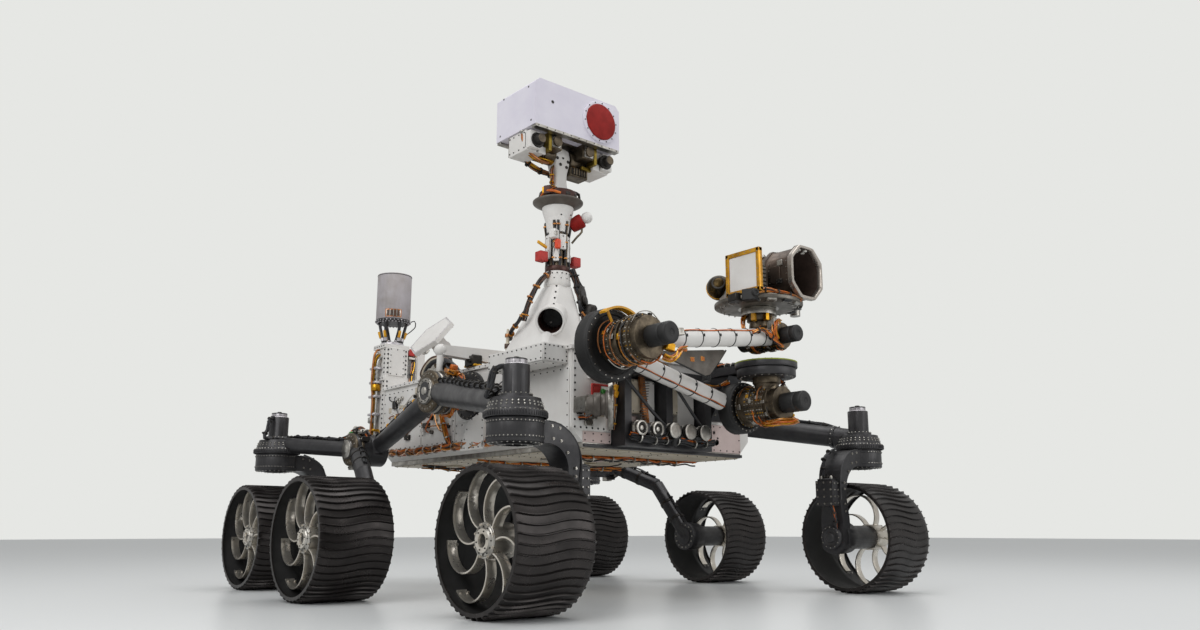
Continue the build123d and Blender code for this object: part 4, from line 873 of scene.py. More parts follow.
neck.harness([(-96, -30, 1800), (-86, -56, 1824), (-60, -42, 1840), (-54, -20, 1862),
    (-46, -14, 1900), (-48, -12, 1936), (-36, -12, 1964)], 8, 2.6, 8, (5, 5, 7, 6), tie=7,
    tie_every=44, seed=7)
neck.tube([(-100, 0, 1796), (-104, -40, 1812), (-92, -80, 1808), (-60, -96, 1800)], 6, 5, 10)
neck.box((-92, -46, SAUCER_Z + 56), (34, 34, 40), 1, 3, turn=(0, 0, 25))
neck.box((-106, -36, SAUCER_Z + 58), (9, 22, 30), 7, 1.5, turn=(0, 0, 25))
neck.harness([(60, -40, 1846), (84, -50, 1836), (98, -30, 1812), (100, 0, 1800)], 6, 3, 8,
    (6, 4), seed=9)
neck.done("mast_neck", slot="white_paint")

# %% [markdown]
# ## The mast and its foot
# Below the saucer the mast is a white cone, then a slim core wrapped in cables, brackets and
# folded wind sensors with red covers, then a bolted clamp ring. Its foot is a casting like a
# boot: it flares down to the deck, runs back along it, and has a wide open horn at the front.
# The cables are what tells a real machine from a toy, so each bundle follows its own route.

# %% Mast core, brackets and covers
FOOT_TOP = 1380.0
mast = Piece("mast_core", "chassis", white_paint, drum_brown, black_braid, bare_metal, red_tag,
    signal_red, red_cover, yellow_tag, dark_housing, brown_metal, amber_tape, at=MAST)
mast.turned((0, 0, 0), UP,
    [(1640, 44), (1640, 50), (1668, 54), (1706, 60), (1740, 71), (1762, 74), (1762, 40)], 0, 56)
for z, x in ((1736, -22), (1716, -24), (1694, 6), (1724, 30)):
    mast.turned((x, -(z - 1640) * 0.19 - 44, z), (0, -1, 0.25), [(-3, 4), (0.8, 4), (1, 0)], 8, 14)
mast.turned((0, 0, 0), UP, [(1476, 44), (1476, 40), (1640, 38), (1640, 30)], 9, 40)
mast.turned((0, 0, 0), UP, [(1450, 50), (1452, 57), (1476, 57), (1478, 50)], 1, 56)
mast.turned((0, 0, 0), UP, [(FOOT_TOP - 6, 50), (FOOT_TOP, 60), (FOOT_TOP + 14, 62),
    (FOOT_TOP + 58, 58), (FOOT_TOP + 72, 56), (FOOT_TOP + 72, 40)], 0, 56)
mast.bolt_circle((0, 0, FOOT_TOP + 14), UP, 113, 18, 2.8, 4, 8)
for row, count in ((FOOT_TOP + 36, 12), (FOOT_TOP + 60, 16)):
    for n in range(count):
        a = 2 * pi * (n + 0.3) / count
        mast.bolts([(0, 0, row) + 59 * ray(a)], ray(a), 3, 2.5, 8)
for angle, z, wide, tall in ((-100, 1590, 34, 72), (-60, 1560, 26, 120), (-135, 1545, 30, 96),
        (170, 1570, 34, 110), (20, 1565, 34, 130), (70, 1560, 36, 120), (120, 1555, 34, 120),
        (-20, 1525, 26, 60)):
    a = radians(angle)
    place = (0, 0, z) + 48 * ray(a)
    mast.box(place, (14, wide, tall), 0, 2, turn=(0, 0, angle))
    mast.bolts([place + 7 * ray(a) + (0, 0, dz) for dz in (-tall * 0.36, tall * 0.36)],
        ray(a), 3, 2.5, 8)
for angle, lean, seed in ((-80, 0, 1), (-45, 12, 2), (-115, -10, 3), (-10, 8, 4), (150, -6, 5),
        (95, 0, 6), (-150, 8, 11)):
    a, b = radians(angle), radians(angle + lean)
    route = [(0, 0, z) + r * ray(t) for z, r, t in ((1472, 52, a), (1520, 50, a), (1570, 52, b),
        (1620, 50, b), (1660, 56, b), (1690, 58, b))]
    mast.harness(route, 5, 2.8, 6, (2, 2, 9), tie=10 if seed % 2 else None, tie_every=80, seed=seed)
mast.box((-38, -50, 1574), (24, 22, 44), 5, 4)
mast.box((-52, -40, 1620), (40, 34, 44), 0, 4, turn=(0, 0, 20))
mast.turned((-56, -58, 1620), (-0.3, -1, 0), [(0, 11), (5, 11), (5, 7), (2, 7)], 3, 24)
mast.box((-108, -26, 1562), (62, 9, 14), 7, 2, turn=(0, 14, 10))
for side, z in ((-1, 1512), (1, 1518)):
    mast.box((side * 96, -6, z), (44, 44, 46), 4, 5, steps=2)
    mast.tube(flip(side, [(40, 0, 1530), (60, -2, 1526), (78, -4, z + 6)]), 7, 3)
    mast.box((side * 62, 0, 1528), (16, 26, 40), 0, 2)
cover_base = (70, -30, 1690)
cover_way = (26, -36, 22)
mast.turned(cover_base, cover_way,
    [(-16, 20), (-12, 31), (30, 35), (46, 34), (50, 28), (50, 0)], 6, 48, 1.5)
mast.turned(cover_base, cover_way,
    [(46, 12), (50, 18), (60, 25), (70, 27.5), (80, 26), (90, 20), (96, 10), (97, 0)], 0, 32, 3)
mast.tube([(92, -60, 1680), (92, -64, 1654), (76, -50, 1630), (60, -30, 1600)], 5, 9, 10)
mast.done("mast_tube", slot="white_paint")

# %% Cables beside the foot
HORN = (-155.0, -152.0, 1180.0)
HORN_WAY = (110.0, 112.0, 60.0)
loom = Piece("mast_foot_loom", "chassis", black_braid, brown_wire, amber_tape, dark_housing,
    bare_metal, white_paint, yellow_tag, shroud_black, drum_brown, at=MAST)
for shift, seed in ((0, 21), (14, 22), (28, 23)):
    loom.harness([(44 + shift * 0.4, -44, 1470), (66 + shift, -54, 1400), (76 + shift, -66, 1330),
        (80 + shift, -84, 1250), (86 + shift, -110, 1180), (110 + shift, -150, 1110)], 7, 3.6, 11,
        (0, 0, 1), tie=3, tie_every=60, seed=seed)
for lift in (0, 26, 52):
    loom.turned((84, -80, 1300 + lift), (0.5, -0.85, 0.1),
        [(-6, 30), (-6, 40), (0, 42), (6, 40), (6, 30)], 3 if lift else 0, 40)
loom.turned((84, -80, 1318), (0.5, -0.85, 0.1), [(6, 24), (14, 26), (20, 22), (20, 6)], 3, 32)
loom.turned((96, -104, 1210), (0.1, -0.25, 1),
    [(0, 20), (4, 26), (50, 28), (80, 26), (90, 18), (90, 5)], 3, 36)
loom.harness([(60, -110, 1260), (84, -134, 1220), (110, -150, 1190), (150, -160, 1176)], 5, 3.4, 8,
    (2, 1), tie=3, tie_every=40, seed=25)
for shift, seed in ((0, 31), (12, 32)):
    loom.harness([(-44, -14, 1450), (-84 - shift, -6, 1410), (-122 - shift, 4, 1350),
        (-146 - shift, 10, 1290), (-160 - shift, 30, 1210)], 6, 3.4, 9, (0, 1, 0), tie=2,
        tie_every=70, seed=seed)
loom.harness([(-156, 20, 1260), (-176, 50, 1210), (-170, 110, 1170), (-130, 170, 1150)], 7, 3.4, 10,
    (0, 1), tie=2, tie_every=60, seed=33)
loom.turned(HORN, HORN_WAY, [(30, 54), (-3, 54.6), (-4, 58), (-4, 63), (-1, 65), (20, 64.5)], 5, 64,
    hollow=True)
loom.turned(HORN, HORN_WAY, [(4, 54.4), (30, 53), (80, 48), (126, 44)], 8, 48, hollow=True)
# The bore ends in a black disc: painted shade at the bottom of the horn.
loom.turned(HORN, HORN_WAY, [(124, 46), (126, 0)], 7, 48)
for n in range(7):
    loom.bolts([(-66 - n * 14, -80 - n * 12, 1366 - n * 32)], (-0.7, -0.7, 0.3), 3.6, 3, 3)
loom.done(slot="black_anodised")

# %% [markdown]
# ## The arm
# The arm is folded across the nose: an azimuth joint hangs from a bracket, the upper arm runs
# right to the elbow, and the forearm comes back to the wrist. Each joint is a flat black disc,
# in which the flexible cables wind up, with a geared drive and a sealed motor on its face. The
# drives are left open to view, so they get stepped flanges, rows of bolts, connectors and leads.
# The tubes are wrapped in white tape with a dark band about every 100 mm.

# %% Bracket and shoulder
# These three joints turn about level axes. Each has its place from side to side and its height.
SHOULDER, ELBOW, WRIST = (240.0, 840.0), (-560.0, 1030.0), (250.0, 1142.0)


def at_joint(joint, y):
    """A point on a joint's axis."""
    return joint[0], y, joint[1]


lime_edge = jacket("lime_edge", "#8f9a24", "#7c8420", 0.5)
holder = Piece("arm_holder", "chassis", black_anodised, lime_edge, dark_housing, bare_metal,
    brown_metal, black_braid, orange_wire, amber_tape)
holder.turned((240, -1190, 1000), UP,
    [(0, 60), (0, 135), (3, 138), (24, 138), (25, 136), (30, 136), (30, 0)], 0, 88)
holder.turned((240, -1190, 1024), UP, [(0, 135), (0, 138.5), (5, 138.5), (6, 135.5)], 1, 88)
holder.bolt_circle((240, -1190, 1030), UP, 250, 28, 3, 2.5, 3)
holder.turned((240, -1190, 1030), UP, [(-1, 88), (2.5, 86), (2.5, 40)], 2, 48)
for side in (-1, 1):
    near, far = 240 + side * 40, 300 + side * 46
    cheek = ((near, -1160, 1003), (far, -820, 1003), (far, -815, 1046), (near, -1160, 1029))
    holder.grid([[(x + side * 8 * k, y, z) for x, y, z in cheek] for k in (-1, 1)], 0, caps=True)
holder.grid([[(240 - 46, -1180, z), (240 + 46, -1180, z), (300 + 50, -815, z), (300 - 50, -815, z)]
    for z in (1012, 1020)], 2, caps=True)
holder.grid([[(300 + x, -814, 802), (300 + x, -814, 1046), (300 + x, -960, 1003),
    (300 + x, -838, 802)] for x in (-50, 50)], 0, caps=True)
holder.bolts([(300 + x, -838 - (z - 802) * 0.6, z) for x in (-34, 34)
    for z in (830, 880, 930, 980)], (0, -1, -0.6), 4.2, 4, 3)
holder.harness([(280, -840, 1052), (262, -930, 1050), (240, -990, 1042), (222, -1030, 1036)], 10,
    3.2, 12, (5, 5, 7, 6), tie=3, seed=41)
holder.done("arm_bracket", slot="bare_metal")

turning = Piece("shoulder_drive", "arm_shoulder", black_anodised, brown_metal, bare_metal,
    dark_housing, *LEADS, gold_metal, shroud_black, black_braid)
turning.turned((240, -1190, 961.7), UP,
    [(0, 80), (0, 126), (3, 130), (35, 130), (38, 127), (38, 20)], 0, 88)
turning.bolt_circle((240, -1190, 961.7), DOWN, 230, 24, 3, 3, 2)
turning.turned((240, -1190, 846), UP,
    [(0, 40), (40, 58), (56, 60), (60, 54), (84, 54), (90, 62), (116, 62)], 1, 48)
turning.drive((240, -1074.6, 840), FRONT, 210, 88, 1, (2, 3, 2, 7), (6, 9, 4, 1), seed=51)
turning.motor((240, -1284, 840), FRONT, 116, 44, 8)
turning.harness([(200, -1200, 760), (180, -1240, 748), (210, -1300, 756), (262, -1320, 762),
    (300, -1290, 770), (318, -1240, 790)], 16, 3.6, 15, (5, 4, 7, 6), tie=None, seed=52)
turning.harness([(318, -1200, 850), (326, -1230, 900), (312, -1220, 945), (290, -1200, 960)], 8, 3,
    10, (4, 5, 9), tie=9, seed=53)
for n in range(7):
    turning.box((312 + 3 * n, -1130 - 0.5 * n, 806 + 10 * n), (34, 60, 3), 2, 0.8)
turning.done("shoulder", slot="dark_housing")

# %% Upper arm, forearm and wrist


def wrapped_tube(piece, start, end, y, radius, white, dark, cable, seed):
    """A taped tube with its bands and the cables that run along it."""
    a, b = np.array((start[0], y, start[1])), np.array((end[0], y, end[1]))
    way = unit(b - a)
    length = float(norm(b - a))
    heights = np.arange(0, length, 22)
    pick = random.Random(seed)
    creases = [(h, radius - 1.2 + pick.uniform(0, 1.0)) for h in heights]
    piece.turned(a, way, creases + [(length, radius - 1)], white, 48)
    for h in np.arange(108, length - 60, 101):
        piece.turned(a + way * h, way, band(-2.4, 2.4, radius - 2, radius + 1.2), dark, 48)
        piece.box(a + way * (h + 6) + np.array((0, -radius, 6)), (8, 3, 12), dark, 0.8)
    up_side = np.cross(way, BACK)
    for lift, out in ((30, 28), (26, -30)):
        base = up_side * lift * 0.9 + np.array((0, -out, 0))
        piece.harness([a + way * (length * t) + base for t in (0.08, 0.3, 0.5, 0.7, 0.92)], 3, 2.4,
            4, cable, seed=seed)


def wound_disc(piece, x, z, low_y, high_y, radius, paint, metal):
    """A flat housing for wound cables, with a stepped face and bolts round its rim."""
    deep = high_y - low_y
    piece.turned((x, high_y, z), FRONT, [(0, radius * 0.5), (0, radius - 5), (4, radius),
        (deep - 14, radius), (deep - 12, radius - 3), (deep - 2, radius - 3), (deep, radius - 7),
        (deep, radius * 0.82), (deep - 9, radius * 0.8), (deep - 9, radius * 0.3)], paint, 96, 1.2)
    piece.bolt_circle((x, low_y, z), FRONT, 2 * radius - 22, 26, 2.8, 2.5, metal)
    for a in turns(26):
        piece.bolts([(x + cos(a) * radius, high_y - 10, z + sin(a) * radius)], (cos(a), 0, sin(a)),
            2.4, 1.8, paint)


upper = Piece("upper_arm_detail", "arm_upper", white_paint, shroud_black, brown_metal, bare_metal,
    yellow_tag, orange_wire, amber_tape, black_braid, dark_housing, copper_wire, grey_paint,
    olive_gold, saucer_grey)
wrapped_tube(upper, SHOULDER, ELBOW, -1012, 40, 0, 1, (7, 7, 5), 61)
wound_disc(upper, *SHOULDER, -1074, -996, 116, 1, 3)
wound_disc(upper, *ELBOW, -1074, -996, 150, 1, 3)
upper.drive(at_joint(ELBOW, -1070), FRONT, 109, 98, 2, (3, 8, 3, 6), (9, 7, 5, 3), seed=62)
for n in range(18):
    a0, a1 = (radians(38 + 5 * n + d) for d in (0, 5))
    ring = [(ELBOW[0] + r * cos(a), y, ELBOW[1] + r * sin(a)) for a in (a0, a1)
        for r, y in ((149.5, -1084), (149.5, -1122), (141, -1122), (141, -1084))]
    upper.grid([ring[:4], ring[4:]], 4, caps=n in (0, 17))
for angle in (46, 118):
    a = radians(angle)
    way = np.array((cos(a), 0, sin(a)))
    upper.tube([np.array(at_joint(ELBOW, -1106)) + way * r for r in (92, 146)], 6, 4, 12)
panel = [(-368, 1022), (-70, 950), (-40, 958), (66, 1072), (50, 1078)]
upper.grid([[(x, y, z) for x, z in panel] for y in (-1104, -1110)], 12, caps=True)
for x, z in ((-150, 1012), (-86, 1022)):
    upper.box((x, -1111, z), (24, 3, 20), 6, 1)
    upper.box((x, -1113, z), (11, 2, 9), 5, 0.6)
upper.tube([(-372, -1106, 1024), (-70, -1106, 948), (-40, -1106, 952), (70, -1106, 1078)],
    4, 1, 10, 40)
upper.box((-40, -1090, 952), (26, 34, 44), 1, 3, turn=(0, 12, 0))
upper.harness([(SHOULDER[0] - 40, -1000, 960), (120, -992, 930), (0, -980, 940), (-160, -978, 985),
    (-330, -980, 1030), (-430, -984, 1040)], 9, 3, 10, (7, 5, 7, 6), tie=1, tie_every=110, seed=63)
upper.done("upper_arm", slot="white_paint")

fore = Piece("forearm_detail", "arm_fore", white_paint, shroud_black, brown_metal, bare_metal,
    yellow_tag, orange_wire, amber_tape, black_braid, dark_housing, copper_wire, gold_metal)
wrapped_tube(fore, ELBOW, WRIST, -1235, 39, 0, 1, (7, 5, 7), 71)
fore.drive(at_joint(ELBOW, -1180.4), FRONT, 104, 98, 2, (3, 8, 3, 10), (9, 7, 5, 3, 6), seed=72)
fore.motor(at_joint(ELBOW, -1284), FRONT, 116, 44, 1)
fore.harness([(-500, -1292, 960), (-470, -1300, 950), (-430, -1296, 970), (-400, -1280, 1000),
    (-350, -1270, 1012)], 12, 3.4, 12, (6, 5, 10), tie=None, seed=73)
fore.box((-466, -1290, 1000), (46, 26, 34), 10, 4, turn=(0, 10, 0))
fore.box((-420, -1282, 1066), (60, 40, 30), 3, 3, turn=(0, -8, 0))
fore.drive(at_joint(WRIST, -1196), FRONT, 90, 60, 2, (3, 10, 8), (5, 6, 9), seed=74)
fore.motor(at_joint(WRIST, -1284), FRONT, 86, 37, 1)
fore.harness([(200, -1290, 1120), (180, -1296, 1150), (190, -1292, 1190), (226, -1284, 1204)], 14,
    3.2, 13, (6, 5, 10, 9), tie=None, seed=75)
fore.harness([(60, -1270, 1130), (110, -1284, 1150), (150, -1290, 1130), (186, -1292, 1106),
    (230, -1290, 1090)], 10, 3.2, 10, (5, 6, 7), tie=1, seed=76)
for n in range(6):
    fore.box((206 - 3 * n, -1250 - 9 * n, 1184 + 2 * n), (36, 4, 32), 3, 0.8)
fore.done("forearm", slot="white_paint")

hand = Piece("wrist_detail", "arm_wrist", brown_metal, bare_metal, dark_housing, shroud_black,
    *LEADS, gold_metal, yellow_tag)
hand.drive(at_joint(WRIST, -1106.7), FRONT, 88, 60, 0, (1, 2, 7), (4, 5, 6), seed=81)
hand.motor(at_joint(WRIST, -1108), BACK, 63, 44, 3)
hand.turned((WRIST[0], -1150, WRIST[1] + 40), UP, [(0, 30), (10, 46), (40, 42), (44, 54), (70, 54),
    (70, 44), (98, 44), (102, 78), (112, 80), (142, 80)], 0, 64)
hand.turned((WRIST[0], -1150, 1252), UP,
    [(0, 60), (0, 80), (4, 80.5), (28, 80.5), (31.5, 78), (31.5, 20)], 1, 64)
hand.bolt_circle((WRIST[0], -1150, 1252), DOWN, 146, 20, 2.6, 3, 2)
hand.harness([(200, -1120, 1150), (186, -1110, 1200), (196, -1104, 1240), (214, -1110, 1262)], 9, 3,
    10, (5, 4, 6), seed=82)
hand.harness([(300, -1120, 1160), (318, -1116, 1200), (310, -1112, 1244), (296, -1116, 1262)], 9, 3,
    10, (4, 5, 7), seed=83)
for n, a in enumerate((200, 250, 300, 340)):
    t = radians(a)
    hand.box((WRIST[0], -1150, 1236) + 66 * ray(t), (26, 18, 34), (8, 7, 1, 8)[n], 2,
        turn=(0, 0, a))
hand.done("wrist", slot="dark_housing")

# %% [markdown]
# ## The tool turret
# The turret carries a coring drill in an eight-sided housing whose wide mouth faces forward, a
# sensor behind a square gold frame and a dark round housing. Its base is a milled plate with ribs
# below. The drill housing is made of lofts through eight-sided rings with soft corners: the
# wall, the lip and the inside, painted darker as painted shade in the mouth, which meet edge to
# edge.

# %% Turret plate
turret_grey = finish("turret_grey_metal", "#77726b", "#5c5750", 0.42, metallic=0.75, cloud_mm=60,
    grain_mm=1.5, grain=0.1)
plate = Piece("turret_base", "arm_turret", turret_grey, bare_metal, dark_housing, black_braid,
    *LEADS, shroud_black, silver_wire, yellow_tag)
plate.turned((250, -1150, 1284.3), UP,
    [(0, 88), (0, 150), (5, 176), (9, 199), (13, 200), (24, 200), (26, 198), (26, 0)], 0, 96)
plate.turned((250, -1150, 1284.3), UP, [(-0.1, 92), (4, 92), (4, 60)], 1, 56)
plate.bolt_circle((250, -1150, 1290), DOWN, 356, 30, 3, 7, 1)
for n in range(24):
    plate.box((250, -1150, 1288) + 132 * ray(radians(15 * n + 6)), (74, 5, 7), 1 if n % 3 else 2, 1,
        turn=(0, 0, 15 * n + 6))
for a, paint in ((205, 7), (238, 1), (262, 7), (285, 1), (318, 2), (345, 7), (20, 1)):
    t = radians(a)
    plate.box((250, -1150, 1300) + 184 * ray(t), (22, 44, 30), paint, 2.5, turn=(0, 0, a))
    plate.bolts([(250, -1150, 1315) + 190 * ray(t + d) for d in (-0.07, 0.07)], UP, 3, 3, 2)
plate.box((86, -1246, 1306), (56, 66, 52), 7, 4, turn=(0, 0, 20))
plate.turned((66, -1284, 1308), (-0.35, -1, 0),
    [(0, 17), (12, 17), (14, 14), (14, 8), (10, 7)], 7, 28)
plate.box((60, -1180, 1302), (44, 60, 36), 2, 3, turn=(0, 0, -12))
plate.harness([(90, -1270, 1322), (130, -1300, 1330), (190, -1320, 1322), (250, -1335, 1318),
    (320, -1338, 1306)], 8, 3, 9, (3, 4, 6, 5), tie=7, seed=91)
plate.turned((492, -1170, 1310), UP, [(-26, 18), (-26, 24), (40, 24), (44, 30), (48, 32), (80, 32),
    (84, 28), (110, 26), (112, 10)], 1, 40)
for n in range(9):
    plate.turned((492, -1170, 1316 + 10 * n), UP, band(0, 3, 20, 31.5), 1, 40, 0.5)
plate.done("turret_plate", slot="bare_metal")

# %% Drill housing
DRILL = (346.0, 0.0, 1432.8)


def eight(y, inset, corner):
    """An eight-sided ring with soft corners, standing upright at y and inset from the outside."""
    w, h, c = 112 - inset, 122.3 - inset, corner
    corners = [(w, h - c), (w - c, h), (-w + c, h), (-w, h - c)]
    corners += [(-x, -z) for x, z in corners]
    ring = []
    for n, (x, z) in enumerate(corners):
        before, after = corners[n - 1], corners[(n + 1) % 8]
        ring.append((x + (before[0] - x) * 0.22, y, z + (before[1] - z) * 0.22))
        ring.append((x * 0.985, y, z * 0.985))
        ring.append((x + (after[0] - x) * 0.22, y, z + (after[1] - z) * 0.22))
    return ring


drill_metal = finish("drill_housing_brown", "#5e5148", "#463c35", 0.4, metallic=0.8, cloud_mm=45,
    grain_mm=1.4, grain=0.16)
lip_silver = finish("pale_silver_lip", "#bdb6ae", "#a29a92", 0.3, metallic=0.9, cloud_mm=40,
    grain_mm=1.2, grain=0.06)
# The inside is a darker brown: painted shade in the drill's mouth.
inner_painted_shade = finish("inner_wall_painted_shade", "#54463f", "#40342e", 0.42, metallic=0.25, cloud_mm=60,
    grain_mm=2, grain=0.05)
drill = Piece("turret_drill_housing", "arm_turret", drill_metal, lip_silver, inner_painted_shade,
    bare_metal, dark_housing, red_tag, *LEADS, white_wire, silver_wire, shroud_black, at=DRILL)
# Rings of the housing's outside, of its lip and of its inside: place, inset and corner
OUTSIDE = ((-1337, 0.0, 58), (-1334, 3.5, 58), (-1330, 8.2, 58), (-1216, 8.2, 56), (-1212, 5, 58),
    (-1210, 0.2, 60), (-1190, 0.2, 60), (-1188, 5, 58), (-1186, 12.2, 56), (-972, 12.2, 56),
    (-962, 24, 50), (-960, 108, 2))
LIP = ((-1336, 0.2, 60), (-1338, 0.0, 61), (-1357, 0.0, 61), (-1360, 2.4, 60), (-1360, 11.5, 57),
    (-1357, 13.5, 56), (-1338, 14.5, 56))
INSIDE = ((-1357, 13.2, 56), (-1300, 15, 56), (-1215, 20, 54), (-1212, 40, 46), (-1212, 108, 2))
for paint, rings in enumerate((OUTSIDE, LIP, INSIDE)):
    drill.grid([eight(*ring) for ring in rings], paint)
for dx, y in ((-22, -1332), (16, -1338), (-6, -1306), (34, -1312)):
    drill.turned((dx, y, 109), DOWN, [(0, 10), (4, 10), (6, 8), (6.6, 0)], 9, 28)
for y in (-1322, -1226, -1176, -984):
    for side in (-1, 1):
        for z in (-44, -15, 15, 44):
            drill.bolts([(side * (104 if y < -1215 else 100), y, z)], (side, 0, 0), 3, 2.6, 3)
        for x in (-40, -13, 13, 40):
            drill.bolts([(x, y, side * (114 if y < -1215 else 110.2))], (0, 0, side), 3, 2.6, 3)
for y, z, deep, long, tall, paint in ((-1150, 30, 8, 56, 60, 0), (-1150, -20, 12, 40, 30, 4),
        (-1096, 34, 10, 36, 52, 3), (-1096, -24, 14, 46, 44, 0), (-1040, 20, 12, 54, 70, 4),
        (-1260, -10, 5, 60, 80, 0), (-1290, 40, 6, 30, 26, 3), (-1010, -30, 10, 40, 40, 3),
        (-1070, 64, 9, 30, 14, 5), (-1120, -52, 10, 24, 16, 5), (-1284, -44, 6, 34, 22, 4)):
    drill.box((-100 - deep / 2 + (0 if y > -1212 else -4), y, z), (deep, long, tall), paint, 2)
    drill.bolts([(-100 - deep - (0 if y > -1212 else 4), y + s * (long / 2 - 5),
        z + t * (tall / 2 - 4)) for s in (-1, 1) for t in (-1, 1)], (-1, 0, 0), 2, 2, 3)
for n in range(7):
    drill.turned((-84 + 13 * n, -1150 + 6 * (n % 3), 108), UP, [(0, 5), (10, 5), (12, 3), (14, 3)],
        (3, 11, 9, 3, 11, 3, 7)[n], 16)
drill.box((6, -1106, 108), (120, 84, 6), 3, 2)
drill.box((-30, -1060, 109), (60, 50, 8), 4, 2)
drill.harness([(-96, -1200, 52), (-112, -1160, 66), (-110, -1100, 60), (-112, -1040, 70),
    (-90, -990, 60)], 6, 2.8, 7, (6, 7, 8, 11), tie=10, tie_every=70, seed=95)
drill.tube([(-102, -1186, 20), (-112, -1170, -20), (-112, -1120, -50),
    (-104, -1080, -80)], 3.4, 6, 8)
drill.box((-119, -1095, -74.8), (56, 186, 94), 4, 4)
drill.box((-149, -1100, -70.8), (6, 120, 60), 3, 1.5)
drill.bolts([(-152, -1100 + s * 52, -70.8 + t * 24) for s in (-1, 1) for t in (-1, 1)], (-1, 0, 0),
    2.6, 2.4, 4)
for y in (-1260, -1210):
    drill.box((118, y + 40, -10), (14, 28, 150), 3, 3)
    for n in range(6):
        drill.box((124, y + 40, -66 + 22 * n), (20, 32, 4), 1, 1)
drill.tube([(-234, -1206, 57.2), (-196, -1200, 79.2), (-136, -1170, 99.2),
    (-84, -1140, 107.2)], 6, 3, 14)
drill.tube([(-234, -1180, -102.8), (-186, -1184, -52.8), (-132, -1170, 7.2),
    (-96, -1150, 43.2)], 6, 3, 14)
drill.tube([(-234, -1250, -92.8), (-166, -1240, -80.8), (-106, -1230, -62.8)], 5, 11, 12)
drill.done("turret_drill", slot="dark_housing")

# %% Square sensor and round housing
frame_gold = jacket("gold_frame", "#d8a02a", "#b57f18", 0.28, metallic=0.75, coat=0.3)
round_gold = finish("dark_gold_dome", "#4d3d1f", "#15130f", 0.3, metallic=0.9, cloud_mm=38,
    grain_mm=2.2, grain=0.12)
sensor = Piece("turret_sensor_head", "arm_turret", dark_housing, frame_gold, white_paint,
    bare_metal, round_gold, copper_wire, amber_tape, black_braid)
sensor.box((145, -1185, 1385), (90, 130, 150), 0, 4)
sensor.box((102, -1210, 1416), (8, 180, 180), 3, 2)
for dy, dz, wide, tall in ((0, -88, 196, 20), (0, 88, 196, 20), (-88, 0, 20, 196),
        (88, 0, 20, 196)):
    sensor.box((86, -1210 + dy, 1416 + dz), (24, wide, tall), 1, 4, steps=2)
sensor.box((83, -1210, 1416), (8, 156, 156), 2, 1.5)
sensor.bolts([(74, -1210 + s * 88, 1416 + t) for s in (-1, 1) for t in (-80, -40, 0, 40, 80)],
    (-1, 0, 0), 2.6, 2, 3)
sensor.bolts([(74, -1210 + t, 1416 + s * 88) for s in (-1, 1) for t in (-50, -18, 18, 50)],
    (-1, 0, 0), 2.6, 2, 3)
sensor.box((131, -1090, 1340), (70, 80, 60), 3, 3)
ball = [(58 * sin(radians(a)), -58 * cos(radians(a))) for a in range(0, 181, 9)]
sensor.turned((112, -1038, 1384), (-0.6, -0.5, 0.2), [(h, max(r, 0)) for r, h in ball], 4, 56)
sensor.turned((112, -1038, 1384), (-0.6, -0.5, 0.2), band(-6, 6, 57, 59.5), 1, 56)
sensor.turned((112, -1038, 1384), (-0.6, -0.5, 0.2),
    [(44, 34), (52, 32), (53, 24), (50, 22)], 0, 40)
sensor.harness([(120, -1150, 1460), (150, -1110, 1450), (170, -1080, 1420), (168, -1050, 1370),
    (150, -1030, 1330)], 7, 3, 8, (5, 6, 7), tie=7, seed=97)
sensor.box((160, -1216, 1470), (60, 60, 26), 3, 2)
sensor.box((150, -1250, 1400), (70, 10, 100), 3, 2)
for n in range(5):
    sensor.box((150, -1257, 1364 + 18 * n), (62, 6, 5), 0, 0.8)
sensor.done("turret_sensor", slot="gold")

# %% [markdown]
# ## The body
# The body is a folded white box, closed by panels with a bolt every few centimetres. What faces
# the camera is busy: the corner shelf under the mast, the white front panel with a few connectors,
# and the open bay across the nose with its rails and sample canisters. Panels are thin plates
# with bolt rows on all sides, and small housings are scattered over a patch by one function whose
# random numbers start from a fixed seed, so that they always fall the same way.

